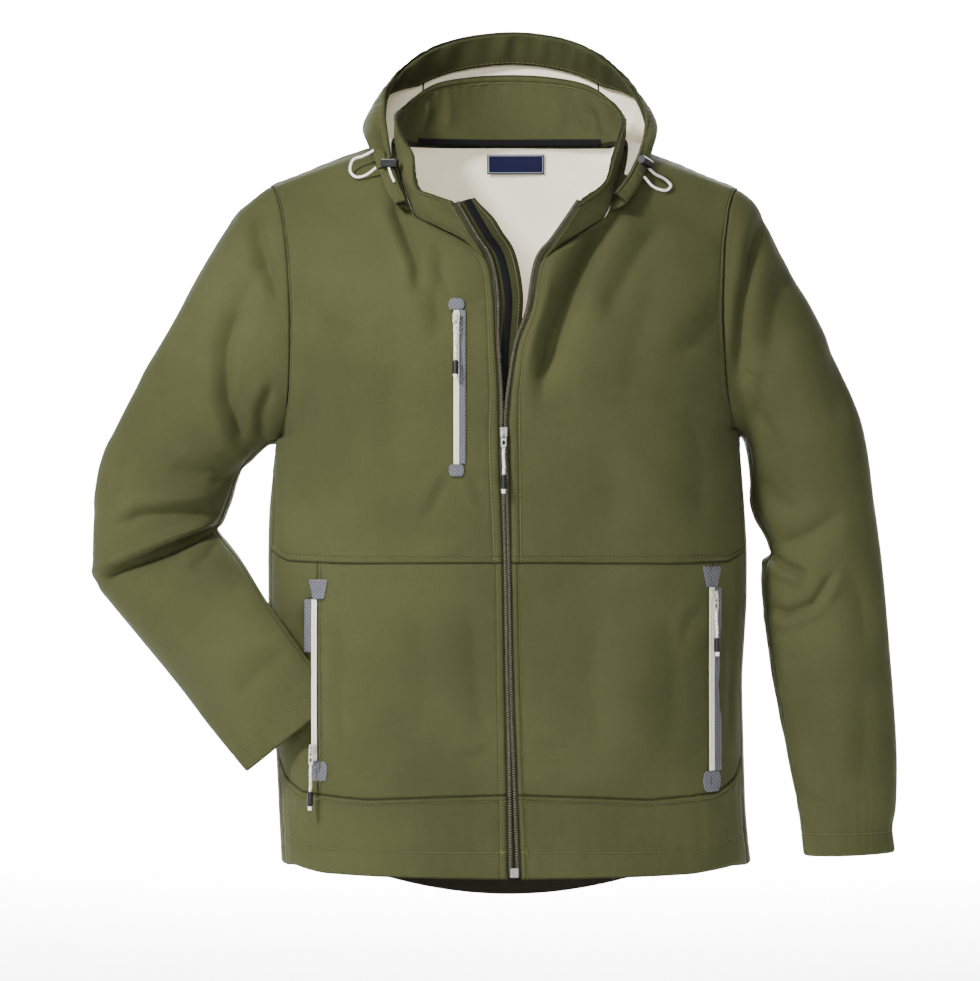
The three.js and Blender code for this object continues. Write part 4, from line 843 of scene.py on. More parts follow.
def closed_wall(name: str, outer: Array, inner: Array, uv: Array, turn: bool,
                lined: Array | None = None, bound: int = 0) -> Thing:
    """A wall between an outer and an inner grid: both faces and the rim, with the inner face in slot 1.

    Args:
        name: the wall's name.
        outer: the grid of its outer face.
        inner: the grid of its inner face.
        uv: a place for each point of the outer grid.
        turn: whether rows crossed with columns point outwards.
        lined: whether each face of the inner grid shows the lining; all do where it is not given.
        bound: the slot of the inner faces that show no lining.

    Returns:
        The wall's object.
    """
    rows, columns = outer.shape[:2]
    front = grid_faces(rows, columns)
    back = grid_faces(rows, columns, rows * columns)[:, ::-1]
    faces = np.concatenate((front, back, rim_faces(rows, columns)))
    inside = np.ones(len(back)) if lined is None else lined.ravel().astype(float)
    slots = np.zeros(len(faces))
    slots[len(front):2 * len(front)] = np.where(inside > 0, 1, bound)
    points = np.concatenate((outer.reshape(-1, 3), inner.reshape(-1, 3)))
    thing = new_mesh(name, points, faces[:, ::-1] if turn else faces, slots)
    set_uv(thing, np.concatenate((uv, uv)))
    return thing


@dataclass
class ClothPiece:
    """A sewn piece of cloth with its seams, topstitching, puckers and folds.

    Attributes:
        node: the solid that it stands for.
        grid: its smooth form as rows and columns of points.
        outward: 1 where the grid's own normals face out of the jacket, else -1.
        finish: how its edges are sewn.
        folds: the folds that reach it.
        thick: its thickness.
        lift: how far its outer face lies out from the grid.
        step: the distance between its rows and columns.
        seed: picks its unevenness.
        uneven: the unevenness's height.
        long: the unevenness's length.
        bound: the material slot of the cloth that is turned in.
        seen_inside: whether the sewing shows on the inner face.
        calmed: how often the inside of its form is smoothed.
        at_edge: the share of a crease that is left at the piece's edges.
    """

    node: str
    grid: Array
    outward: float
    finish: Finish = Finish()
    folds: tuple[Fold, ...] = ()
    thick: float = CLOTH
    lift: float = 0.0
    step: float = 3.6
    seed: int = 1
    uneven: float = 0.9
    long: float = 90.0
    bound: int = 0
    seen_inside: bool = False
    calmed: int = 0
    at_edge: float = 0.12

    def soft_relief(self, fine: Array, out: Array, inside: Array) -> Array:
        """The height of the creases and the slow unevenness, which both faces share.

        Both are calmed towards the piece's edges, so that neighbouring pieces stay together at their seam.
        """
        seen = as_seen(fine)
        back = smooth((out[..., 1] + 0.15) / 0.3)
        creases = np.zeros(inside.shape)
        for fold in self.folds:
            creases += fold.height(seen, back)
        slow = unevenness(fine, self.seed, self.long, self.uneven)
        return creases * mix(self.at_edge, 1, smooth(inside / 16)) + slow * smooth(inside / 25)

    def sewn_relief(self, rows: Array, columns: Array) -> tuple[Array, Array, Array]:
        """The height of the sewn edges, with each point's distance to the stitching and its place along it.

        An edge is rounded off by a bell curve. Stitched edges rise between the edge and the stitching, dip
        along it, and pucker in uneven sine waves that fade away from it.
        """
        total_down, total_across = rows[-1], columns[-1]
        down, across = np.meshgrid(rows, columns, indexing="ij")
        edges = (
            (self.finish.low, down, across),
            (self.finish.high, total_down - down, across),
            (self.finish.start, across, down),
            (self.finish.end, total_across - across, down),
        )
        height = np.zeros(down.shape)
        stitch = np.full(down.shape, UNSEWN)
        run = np.zeros(down.shape)
        for number, (sewn, away, along_edge) in enumerate(edges):
            height -= self.finish.round_off * np.exp(-((away / 1.3) ** 2))
            if not sewn:
                continue
            height += self.finish.bead * np.exp(-(((away - 0.5 * sewn) / (0.40 * sewn)) ** 2)) * (sewn < 15)
            height -= 0.9 * np.exp(-(((away - sewn) / 0.9) ** 2))
            wave = np.sin(along_edge / 2.3 + 3 * np.sin(along_edge / 17 + self.seed + number))
            slow = np.sin(along_edge / 9.1 + 2 * np.sin(along_edge / 41 + number))
            fade = np.exp(-(((away - sewn) / (1.8 * sewn)) ** 2))
            height += self.finish.pucker * (wave + 1.3 * slow) * fade
            off = away - sewn
            closer = np.abs(off) < np.abs(stitch)
            stitch = np.where(closer, off, stitch)
            run = np.where(closer, along_edge, run)
        return height, stitch, run

    def build(self, slot: str, *skins: Material) -> None:
        """Makes and dresses the piece: the smooth form, moved out by its relief, with a wall behind it.

        Args:
            slot: the material slot that it takes its finish from.
            skins: its materials, in slot order.
        """
        fine, rows, columns = refine(self.grid, self.step)
        fine = calm(fine, rows, columns, self.calmed)
        cut = fine
        out = normals(fine) * self.outward
        fine = tuck_edges(fine, self.finish.tuck)
        height, stitch, run = self.sewn_relief(rows, columns)
        down, across = np.meshgrid(rows, columns, indexing="ij")
        inside = np.minimum.reduce([down, rows[-1] - down, across, columns[-1] - across])
        soft = self.soft_relief(fine, out, inside) + self.lift
        outer = fine + out * (soft + height)[..., None]
        inner = fine + out * (soft - self.thick - (height if self.seen_inside else 0))[..., None]
        uv = uv_places(rows, columns) * MM
        gaps = (down, rows[-1] - down, across, columns[-1] - across)
        lined = np.minimum.reduce([gap - turned for gap, turned in zip(gaps, self.finish.turned)]) > 0
        thing = closed_wall(f"{self.node}_piece", outer, inner, uv, self.outward > 0,
                            lined[1:, 1:] & lined[:-1, :-1], self.bound)
        behind = stitch if self.seen_inside else np.full(stitch.shape, UNSEWN)
        set_sewing(thing, np.stack((stitch, behind)), np.stack((run, run)), np.stack((inside, inside)))
        state_cut(thing, cut)
        dress(thing, slot, (self.node,), *skins)


class Graph:
    """A node tree, with short ways to add and join its nodes."""

    def __init__(self, tree: NodeTree) -> None:
        """Starts from an existing tree."""
        self.tree = tree

    def add(self, kind: str, inputs: dict | None = None, **settings: object) -> Node:
        """Adds a node.

        Args:
            kind: the node's type, without the words ShaderNode.
            inputs: a value or an output for each named or numbered input.
            settings: the node's own settings.

        Returns:
            The new node.
        """
        node = self.tree.nodes.new("ShaderNode" + kind)
        for key, value in settings.items():
            setattr(node, key, value)
        self.fill(node, inputs or {})
        return node

    def fill(self, node: Node, inputs: dict) -> None:
        """Gives a node's inputs their values, and joins them where the value is another node's output."""
        for key, value in inputs.items():
            if isinstance(value, Socket):
                self.tree.links.new(value, node.inputs[key])
            else:
                node.inputs[key].default_value = value

    def bump(self, height: object, strength: float, distance: float) -> Socket:
        """The normals of a relief, with its depth in metres."""
        return self.add("Bump", {"Height": height, "Strength": strength, "Distance": distance}).outputs[0]

    def math(self, operation: str, a: object, b: object = 0.0, c: object = 0.0) -> Socket:
        """One step of arithmetic, by its operation's name."""
        return self.add("Math", {0: a, 1: b, 2: c}, operation=operation).outputs[0]

    def blend(self, share: object, a: object, b: object, how: str = "MIX") -> Socket:
        """Mixes two colours by a share."""
        node = self.add("Mix", data_type="RGBA", blend_type=how)
        self.fill(node, {0: share, 6: a, 7: b})
        return node.outputs[2]

    def ramp(self, value: Socket, low: float, high: float) -> Socket:
        """Brings a value from low..high to 0..1, with a soft step."""
        inputs = {"Value": value, "From Min": low, "From Max": high}
        return self.add("MapRange", inputs, interpolation_type="SMOOTHSTEP").outputs["Result"]


def colour(red: float, green: float, blue: float) -> Four:
    """A colour from its display values of 0 to 255, as the linear values that shaders use."""
    def line(value: float) -> float:
        """One channel, by the usual display curve."""
        share = value / 255
        return share / 12.92 if share <= 0.04045 else ((share + 0.055) / 1.055) ** 2.4

    return line(red), line(green), line(blue), 1.0


def new_group(name: str, inputs: dict[str, float], outputs: tuple[str, ...]) -> tuple[Graph, Node, Node]:
    """Makes a shader node group that takes and gives numbers.

    Args:
        name: the group's name.
        inputs: its inputs and their usual values.
        outputs: its outputs.

    Returns:
        Its graph, the node that gives its inputs and the node that takes its outputs.
    """
    group = bpy.data.node_groups.new(name, "ShaderNodeTree")
    for key, value in inputs.items():
        socket = group.interface.new_socket(key, in_out="INPUT", socket_type="NodeSocketFloat")
        socket.default_value = value
    for key in outputs:
        group.interface.new_socket(key, in_out="OUTPUT", socket_type="NodeSocketFloat")
    return Graph(group), group.nodes.new("NodeGroupInput"), group.nodes.new("NodeGroupOutput")


class Effects:
    """The shader node groups that several finishes share."""

    def __init__(self) -> None:
        """Builds the groups once."""
        self.weave = self._weave()
        self.stitching = self._stitching()
        self.mottle = self._mottle()

    @staticmethod
    def _weave() -> NodeTree:
        """Plain weave: threads cross as two sine waves on the piece's own UV, one over the other by turns."""
        graph, given, made = new_group("plain_weave", {"Pitch": 0.0007}, ("Height",))
        part = graph.add("SeparateXYZ", {0: graph.add("TexCoord").outputs["UV"]})
        turn = graph.math("DIVIDE", math.pi, given.outputs["Pitch"])
        across = graph.math("SINE", graph.math("MULTIPLY", part.outputs[0], turn))
        down = graph.math("SINE", graph.math("MULTIPLY", part.outputs[1], turn))
        product = graph.math("MULTIPLY", across, down)
        graph.fill(made, {"Height": graph.math("MULTIPLY_ADD", product, 0.5, 0.5)})
        return graph.tree

    @staticmethod
    def _stitching() -> NodeTree:
        """Thread dashes where the stitch attribute crosses zero; painted shade along the stitching and where
        edge is near zero.
        """
        inputs = {"Pitch": 3.0, "Half Width": 0.5}
        graph, given, made = new_group("topstitching", inputs, ("Mask", "GrooveShade", "Seam"))
        off = graph.math("ABSOLUTE", graph.add("Attribute", attribute_name="stitch").outputs["Fac"])
        run = graph.add("Attribute", attribute_name="run").outputs["Fac"]
        share = graph.math("FRACT", graph.math("DIVIDE", run, given.outputs["Pitch"]))
        dash = graph.ramp(graph.math("ABSOLUTE", graph.math("SUBTRACT", share, 0.5)), 0.42, 0.32)
        near = graph.math("SUBTRACT", 1.0, graph.math("DIVIDE", off, given.outputs["Half Width"]))
        mask = graph.math("MULTIPLY", graph.ramp(near, 0.0, 0.5), dash)
        edge = graph.add("Attribute", attribute_name="edge").outputs["Fac"]
        # The groove and seam masks are painted shade: darkening along the stitch line and at the piece's
        # edges, where seams meet.
        graph.fill(made, {
            "Mask": mask, "GrooveShade": graph.ramp(off, 2.0, 0.2), "Seam": graph.ramp(edge, 1.7, 0.2),
        })
        return graph.tree

    @staticmethod
    def _mottle() -> NodeTree:
        """Slow colour variation and fine fibre grain, from noise on the object's coordinates."""
        graph, given, made = new_group("mottle", {"Broad": 7.0, "Fine": 420.0}, ("Broad", "Fine"))
        place = graph.add("TexCoord").outputs["Object"]
        for key in ("Broad", "Fine"):
            noise = graph.add("TexNoise", {"Vector": place, "Scale": given.outputs[key], "Detail": 4.0})
            graph.fill(made, {key: noise.outputs["Fac"]})
        return graph.tree


@dataclass(frozen=True)
class Skin:
    """A finish of one kind of surface."""

    name: str

    def make(self, effects: Effects) -> Material:
        """Builds the material.

        Args:
            effects: the shared node groups.

        Returns:
            The material.
        """
        material = bpy.data.materials.new(self.name)
        material.use_nodes = True
        graph = Graph(material.node_tree)
        graph.fill(material.node_tree.nodes["Principled BSDF"], self.inputs(graph, effects))
        return material

    def inputs(self, graph: Graph, effects: Effects) -> dict[str, object]:
        """Gives a value or an output for each of the shader's inputs that it sets."""
        raise NotImplementedError


@dataclass(frozen=True)
class Softshell(Skin):
    """The jacket's woven outer face, slightly sheeny and finely ribbed."""

    lit: Triple
    shade: Triple
    thread: Triple = (80, 81, 52)
    rough: float = 0.74
    sheen: float = 0.02
    pitch: float = 0.0009
    stitched: bool = True

    def inputs(self, graph: Graph, effects: Effects) -> dict[str, object]:
        """Gives the shader's inputs."""
        mottle = graph.add("Group", node_tree=effects.mottle)
        weave = graph.add("Group", {"Pitch": self.pitch}, node_tree=effects.weave)
        broad = graph.ramp(mottle.outputs["Broad"], 0.3, 0.72)
        base = graph.blend(broad, colour(*self.shade), colour(*self.lit))
        grain = graph.math("MULTIPLY", graph.ramp(mottle.outputs["Fine"], 0.35, 0.65), 0.10)
        base = graph.blend(grain, base, colour(*(0.72 * v for v in self.shade)))
        height = graph.math("MULTIPLY", weave.outputs["Height"], 0.4)
        height = graph.math("MULTIPLY_ADD", mottle.outputs["Fine"], 0.35, height)
        rough = graph.math("MULTIPLY_ADD", mottle.outputs["Broad"], 0.12, self.rough)
        if self.stitched:
            sewn = graph.add("Group", node_tree=effects.stitching).outputs
            # Painted shade: dark olive along the stitch groove and near-black at the seams between pieces;
            # the thread tint after them is the thread's own colour.
            tints = {"GrooveShade": (0.36, (22, 22, 13)), "Seam": (0.6, (12, 12, 7)), "Mask": (0.85, self.thread)}
            for mask, (share, tint) in tints.items():
                base = graph.blend(graph.math("MULTIPLY", sewn[mask], share), base, colour(*tint))
            height = graph.math("MULTIPLY_ADD", sewn["Mask"], 1.1, height)
        return {
            "Base Color": base, "Roughness": rough, "Normal": graph.bump(height, 0.35, 0.0005),
            "Sheen Weight": self.sheen, "Sheen Roughness": 0.45, "Specular IOR Level": 0.05,
        }


@dataclass(frozen=True)
class Fleece(Skin):
    """The bonded fleece on the inner face."""

    pale: Triple = (252, 246, 224)
    shade: Triple = (243, 236, 212)

    def inputs(self, graph: Graph, effects: Effects) -> dict[str, object]:
        """Gives the shader's inputs, with soft clumps of pile."""
        mottle = graph.add("Group", {"Broad": 22.0, "Fine": 900.0}, node_tree=effects.mottle)
        broad = graph.ramp(mottle.outputs["Broad"], 0.25, 0.75)
        base = graph.blend(broad, colour(*self.shade), colour(*self.pale))
        place = graph.add("TexCoord").outputs["Object"]
        clumps = graph.add("TexVoronoi", {"Vector": place, "Scale": 520.0})
        height = graph.math("MULTIPLY_ADD", clumps.outputs["Distance"], -0.6, mottle.outputs["Fine"])
        return {
            "Base Color": base, "Normal": graph.bump(height, 0.5, 0.0008), "Roughness": 0.92,
            "Sheen Weight": 0.35,
        }


@dataclass(frozen=True)
class MeshCloth(Skin):
    """The grey warp-knit mesh beside the zips: dark round holes in staggered rows."""

    yarn: Triple = (74, 75, 81)
    hole: Triple = (28, 28, 32)
    pitch: float = 0.0019

    def inputs(self, graph: Graph, effects: Effects) -> dict[str, object]:
        """Gives the shader's inputs; the holes are the low points of two crossed sine waves."""
        weave = graph.add("Group", {"Pitch": self.pitch}, node_tree=effects.weave)
        mottle = graph.add("Group", node_tree=effects.mottle)
        open_part = graph.ramp(weave.outputs["Height"], 0.45, 0.2)
        base = graph.blend(open_part, colour(*self.yarn), colour(*self.hole))
        base = graph.blend(graph.math("MULTIPLY", mottle.outputs["Fine"], 0.2), base, colour(80, 80, 90))
        relief = graph.bump(weave.outputs["Height"], 0.6, 0.0006)
        return {"Base Color": base, "Normal": relief, "Roughness": 0.7}


@dataclass(frozen=True)
class Hardware(Skin):
    """Moulded or cast small parts: plastic or metal with fine wear."""

    base: Triple
    worn: Triple
    rough: float = 0.4
    metal: float = 0.0

    def inputs(self, graph: Graph, effects: Effects) -> dict[str, object]:
        """Gives the shader's inputs; wear shows in patches of noise."""
        mottle = graph.add("Group", {"Broad": 300.0, "Fine": 1500.0}, node_tree=effects.mottle)
        wear = graph.ramp(mottle.outputs["Broad"], 0.5, 0.75)
        base = graph.blend(wear, colour(*self.base), colour(*self.worn))
        rough = graph.math("MULTIPLY_ADD", mottle.outputs["Fine"], 0.2, self.rough - 0.1)
        return {
            "Base Color": base, "Roughness": rough, "Metallic": self.metal, "Specular IOR Level": 0.3,
            "Normal": graph.bump(mottle.outputs["Fine"], 0.15, 0.0002),
        }


@dataclass(frozen=True)
class Coil(Skin):
    """A fine coil zip: woven tape at its sides and ribs of the coil in the middle, on its UV. The gap colour
    is painted shade between the ribs, along the middle and at the coil's sides; the fine grain also mixes a
    little of it in at random.
    """

    base: Triple
    gap: Triple
    wide: float = 0.0056
    pitch: float = 0.0016

    def inputs(self, graph: Graph, effects: Effects) -> dict[str, object]:
        """Gives the shader's inputs."""
        part = graph.add("SeparateXYZ", {0: graph.add("TexCoord").outputs["UV"]})
        off = graph.math("ABSOLUTE", graph.math("SUBTRACT", part.outputs[0], self.wide / 2))
        coil = graph.ramp(off, 0.0017, 0.0013)
        rib = graph.math("SINE", graph.math("MULTIPLY", part.outputs[1], 2 * math.pi / self.pitch))
        between = graph.math("MULTIPLY", coil, graph.ramp(rib, 0.1, -0.7))
        line = graph.math("MAXIMUM", graph.ramp(off, 0.0003, 0.0001), graph.math("MULTIPLY", between, 0.5))
        line = graph.math("MAXIMUM", line, graph.math("MULTIPLY", graph.ramp(off, 0.0015, 0.0017), 0.25))
        mottle = graph.add("Group", {"Broad": 120.0, "Fine": 900.0}, node_tree=effects.mottle)
        base = graph.blend(graph.math("MULTIPLY", line, 0.7), colour(*self.base), colour(*self.gap))
        base = graph.blend(graph.math("MULTIPLY", mottle.outputs["Fine"], 0.15), base, colour(*self.gap))
        height = graph.math("MULTIPLY", coil, graph.math("MULTIPLY_ADD", rib, 0.5, 1.0))
        return {"Base Color": base, "Normal": graph.bump(height, 0.4, 0.0006), "Roughness": 0.55}


@dataclass(frozen=True)
class Braid(Skin):
    """Round braided cord, in two crossing sets of strands on its UV, flecked with a second colour."""

    base: Triple
    fleck: Triple
    flecks: float = 0.4

    def inputs(self, graph: Graph, effects: Effects) -> dict[str, object]:
        """Gives the shader's inputs."""
        part = graph.add("SeparateXYZ", {0: graph.add("TexCoord").outputs["UV"]})
        twist = graph.math("MULTIPLY", part.outputs[0], 4 * math.pi)
        pitch = graph.math("MULTIPLY", part.outputs[1], 1900.0)
        ways = [graph.math("SINE", graph.math(kind, pitch, twist)) for kind in ("ADD", "SUBTRACT")]
        height = graph.math("MAXIMUM", *ways)
        mottle = graph.add("Group", {"Broad": 420.0, "Fine": 2000.0}, node_tree=effects.mottle)
        fleck = graph.math("MULTIPLY", graph.ramp(mottle.outputs["Broad"], 0.5, 0.62), self.flecks)
        base = graph.blend(fleck, colour(*self.base), colour(*self.fleck))
        # Painted shade: the base darkens where the strands dip between each other.
        low = graph.math("MULTIPLY", graph.ramp(height, 0.3, -0.4), 0.4)
        base = graph.blend(low, base, colour(*(0.55 * v for v in self.base)))
        return {"Base Color": base, "Normal": graph.bump(height, 0.5, 0.0004), "Roughness": 0.75}


@dataclass(frozen=True)
class Tape(Skin):
    """Narrow woven tape or label, with fine ribs across its UV and an optional light border."""

    base: Triple
    rib: Triple
    size: tuple[float, float] = (0.0, 0.0)
    border: Triple = (190, 190, 196)

    def inputs(self, graph: Graph, effects: Effects) -> dict[str, object]:
        """Gives the shader's inputs."""
        part = graph.add("SeparateXYZ", {0: graph.add("TexCoord").outputs["UV"]})
        rib = graph.math("SINE", graph.math("MULTIPLY", part.outputs[1], 7000.0))
        mottle = graph.add("Group", {"Fine": 900.0}, node_tree=effects.mottle)
        # Painted shade: the darker rib colour lies in the troughs between the ribs.
        base = graph.blend(graph.ramp(rib, -0.4, 0.9), colour(*self.rib), colour(*self.base))
        if self.size[0]:
            gaps = []
            for i in (0, 1):
                away = graph.math("ABSOLUTE", graph.math("SUBTRACT", part.outputs[i], self.size[i] / 2))
                gaps.append(graph.math("SUBTRACT", self.size[i] / 2, away))
            edge = graph.math("MINIMUM", *gaps)
            line = graph.math("MULTIPLY", graph.ramp(edge, 0.0009, 0.0012), graph.ramp(edge, 0.0021, 0.0018))
            base = graph.blend(graph.math("MULTIPLY", line, 0.8), base, colour(*self.border))
        height = graph.math("MULTIPLY_ADD", mottle.outputs["Fine"], 0.5, rib)
        return {
            "Base Color": base, "Normal": graph.bump(height, 0.3, 0.0003), "Roughness": 0.8,
            "Specular IOR Level": 0.12,
        }


class Wardrobe:
    """All finishes of the jacket, made once."""

    def __init__(self) -> None:
        """Makes the node groups and the materials."""
        effects = Effects()
        self.olive = Softshell("olive_softshell", (60, 62, 38), (52, 54, 32)).make(effects)
        # The facing is the olive cloth darkened, as painted shade on the collar's inside, the hood rim facing
        # and the placket; its lighter thread is its own colour.
        self.facing = Softshell("shaded_facing_softshell", (51, 53, 32), (43, 45, 27), (104, 104, 72)).make(effects)
        # Near-black painted shade of the olive cloth, for the back's turned-in hem seen from inside below the
        # front hem.
        self.hem = Softshell("painted_shade_hem", (26, 26, 18), (20, 20, 14), stitched=False).make(effects)
        self.fleece = Fleece("cream_fleece").make(effects)
        self.mesh = MeshCloth("grey_mesh").make(effects)
        self.black_tape = Tape("black_tape", (13, 13, 15), (7, 7, 9)).make(effects)
        self.zip_tape = Tape("front_zip_tape", (46, 46, 33), (36, 36, 26)).make(effects)
        label = Tape("navy_label", (26, 29, 62), (18, 20, 46), size=(0.0599, 0.0204), border=(150, 150, 158))
        self.label = label.make(effects)
        # The coil's second colour is painted shade in its recesses.
        self.coil = Coil("off_white_coil", (216, 213, 197), (96, 94, 84)).make(effects)
        self.teeth = Hardware("front_zip_teeth", (70, 68, 52), (54, 52, 40), 0.45).make(effects)
        self.metal = Hardware("slider_metal", (132, 132, 130), (172, 172, 170), 0.35, 0.85).make(effects)
        self.enamel = Hardware("cream_enamel", (172, 169, 156), (140, 138, 128), 0.4).make(effects)
        self.plastic = Hardware("black_plastic", (9, 9, 10), (22, 22, 24), 0.42).make(effects)
        self.tip = Hardware("white_plastic", (214, 212, 204), (190, 188, 180), 0.5).make(effects)
        self.braid = Braid("speckled_cord", (218, 215, 200), (84, 82, 76), 0.7).make(effects)
        self.elastic = Braid("white_elastic", (226, 224, 214), (170, 168, 158), 0.3).make(effects)


def dress(thing: Thing, slot: str, nodes: tuple[str, ...], *skins: Material,
          body: str = "jacket") -> Thing:
    """Gives a piece its materials and its body, and hides the solids that it stands for.

    Args:
        thing: the piece.
        slot: not used.
        nodes: the solids that it replaces.
        skins: its materials, in slot order.
        body: the body that it rides on.

    Returns:
        The same piece.
    """
    for skin in skins:
        thing.data.materials.append(skin)
    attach(thing, body)
    if nodes:
        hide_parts(*nodes)
    LOG.info("%s: %d faces", thing.name, len(thing.data.polygons))
    return thing


def redress(node: str, skin: Material) -> None:
    """Gives a solid that stays its own finish."""
    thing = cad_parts[node]
    thing.material_slots[0].material = skin
    LOG.info("%s keeps its solid", node)


def folds(*rows: tuple[float, ...]) -> tuple[Fold, ...]:
    """Folds from rows: half width, depth, strength behind, ridge, then the places across and down."""
    return tuple(Fold(tuple(zip(row[4::2], row[5::2])), *row[:4]) for row in rows)


FRONT_FOLDS = folds(
    (6.5, 4.2, 0, 0.7, 392, 192, 397, 212, 406, 234, 417, 262, 420, 300),
    (11, 2.4, 0, 0.6, 440, 236, 441, 262, 437, 300, 441, 345),
    (4.5, 1.6, 0, 0.6, 440, 266, 446, 284, 450, 303),
    (4, 1.2, 0, 0.6, 466, 306, 478, 301, 490, 303),
    (6, 1.8, 0, 0.6, 452, 470, 440, 492, 424, 524),
    (5, 1.2, 0, 0.6, 466, 472, 478, 487, 486, 512),
    (17, 2.6, 0, 0.6, 300, 235, 308, 320, 304, 400, 309, 500),
    (20, 2.4, 0, 0.6, 342, 300, 352, 400, 344, 520),
    (18, 1.6, 0, 0.6, 392, 330, 398, 420, 390, 520),
    (13, 1.8, 0, 0.6, 287, 300, 330, 330, 372, 338),
    (18, 2.4, 0, 0.6, 333, 575, 345, 640, 339, 700, 350, 770),
    (22, 2.2, 0, 0.6, 410, 590, 424, 660, 415, 760),
    (12, 1.4, 0, 0.6, 470, 600, 476, 680, 484, 760),
    (5, 1.4, 0, 0.6, 498, 742, 476, 756, 452, 758),
    (7, 1.0, 0, 0.6, 498, 560, 470, 556, 430, 570),
    (15, 13.0, 0, 0.4, 622, 196, 600, 232, 577, 280, 556, 334, 538, 400),
    (20, 4.0, 0, 0.6, 668, 214, 630, 268, 600, 330),
    (9, 1.8, 0, 0.6, 560, 268, 549, 330, 540, 420),
    (26, 2.2, 0, 0.6, 668, 240, 640, 330, 622, 430),
    (14, 2.0, 0, 0.6, 728, 300, 700, 340, 668, 362),
    (20, 2.0, 0, 0.6, 690, 400, 704, 460, 700, 530),
    (22, 1.5, 0, 0.6, 600, 430, 612, 490, 606, 545),
    (5, 1.4, 0, 0.6, 528, 740, 546, 748, 575, 746),
    (4.5, 1.0, 0, 0.6, 528, 770, 548, 762, 566, 765),
    (22, 2.0, 0, 0.6, 600, 590, 590, 670, 602, 770),
    (18, 2.0, 0, 0.6, 668, 600, 676, 680, 668, 760),
    (6, 1.2, 0, 0.6, 706, 600, 690, 620, 684, 650),
    (6, 1.6, 0, 0.6, 726, 570, 732, 660, 728, 750),
)
BACK_FOLDS = folds(
    (20, 3.0, 1.0, 0.6, 330, 260, 350, 400, 338, 560),
    (24, 3.0, 1.0, 0.6, 420, 420, 412, 560, 424, 720),
    (22, 2.2, 1.0, 0.6, 500, 300, 508, 420, 500, 560),
    (24, 3.0, 1.0, 0.6, 590, 380, 600, 520, 588, 700),
    (20, 3.0, 1.0, 0.6, 680, 250, 664, 400, 676, 560),
    (14, 2.6, 1.0, 0.6, 300, 330, 350, 360, 400, 350),
    (14, 2.6, 1.0, 0.6, 720, 320, 670, 356, 620, 350),
    (14, 2.0, 1.0, 0.6, 300, 640, 360, 660, 430, 640),
    (14, 2.0, 1.0, 0.6, 722, 640, 660, 664, 600, 648),
)
SLEEVE_FOLDS = folds(
    (8, 4.0, 0.7, 0.6, 262, 200, 258, 232, 268, 268, 284, 306),
    (15, 3.0, 0.5, 0.6, 272, 250, 246, 292, 230, 340),
    (9, 4.8, 0.6, 0.6, 240, 296, 226, 350, 228, 400, 243, 434, 270, 450),
    (6, 2.6, 0.6, 0.6, 276, 380, 262, 410, 262, 436, 274, 448),
    (18, 2.2, 0.6, 0.6, 200, 300, 180, 350, 160, 400),
    (6, 2.0, 0.8, 0.6, 262, 462, 232, 476, 206, 486),
    (5.0, 9.5, 0.9, 0.8, 228, 524, 192, 539, 150, 556, 118, 568, 92, 588),
    (7, 3.8, 0.8, 0.8, 224, 510, 180, 512, 140, 516, 108, 530),
    (7, 2.8, 0.7, 0.6, 226, 530, 206, 556, 186, 572),
    (9, 2.2, 0.8, 0.6, 138, 440, 118, 480, 112, 520),
    (9, 2.4, 0.7, 0.6, 232, 470, 200, 474, 168, 466),
    (15, 2.2, 0.6, 0.6, 250, 576, 214, 606, 186, 640),
    (14, 1.8, 0.6, 0.6, 290, 650, 262, 668, 236, 700),
    (9, 7.5, 0.7, 0.3, 765, 206, 756, 250, 744, 300, 738, 350, 739, 392),
    (16, 3.0, 0.6, 0.6, 790, 262, 776, 310, 768, 360),
    (5, 2.2, 0.6, 0.6, 738, 372, 752, 378, 768, 392),
    (12, 2.8, 0.6, 0.6, 745, 404, 768, 430, 782, 462),
    (18, 2.2, 0.6, 0.6, 830, 330, 838, 380, 836, 430),
    (4.5, 4.6, 0.9, 0.6, 762, 548, 786, 566, 812, 576),
    (5, 4.0, 0.8, 0.6, 762, 602, 786, 614, 812, 604, 838, 566),
    (11, 3.4, 0.8, 0.6, 778, 544, 806, 536, 846, 508),
    (11, 2.4, 0.7, 0.6, 752, 470, 776, 500, 806, 512),
    (14, 2.2, 0.7, 0.6, 846, 560, 862, 600, 868, 650),
    (14, 2.4, 0.7, 0.6, 784, 640, 808, 690, 812, 740),
    (14, 1.8, 0.7, 0.6, 862, 680, 866, 730, 860, 790),
    (7, 1.4, 0.7, 0.6, 794, 790, 820, 800, 846, 796),
)
COLLAR_FOLDS = folds(
    (5, 2.0, 1.0, 0.6, 428, 98, 424, 118, 417, 142),
    (6, 1.2, 1.0, 0.6, 446, 90, 450, 110, 446, 132),
    (5, 2.0, 1.0, 0.6, 574, 92, 582, 112, 592, 136),
    (5, 2.4, 1.0, 0.6, 592, 98, 603, 116, 606, 140),
    (6, 1.4, 1.0, 0.6, 556, 100, 560, 116, 562, 134),
    (4.5, 2.0, 1.0, 0.6, 600, 150, 590, 172, 580, 188),
    (5, 1.8, 0.4, 0.6, 408, 150, 412, 170, 424, 190),
    (6, 1.4, 0, 0.6, 430, 205, 446, 214, 468, 236),
)
HOOD_FOLDS = folds(
    (4, 1.2, 1.0, 0.6, 430, 52, 436, 60, 440, 70),
    (4, 1.4, 1.0, 0.6, 392, 100, 402, 108, 410, 118),
    (4, 1.2, 1.0, 0.6, 610, 66, 604, 76, 598, 84),
    (5, 1.8, 1.0, 0.6, 376, 120, 384, 138, 388, 160),
    (5, 1.8, 1.0, 0.6, 640, 108, 632, 128, 622, 148),
)


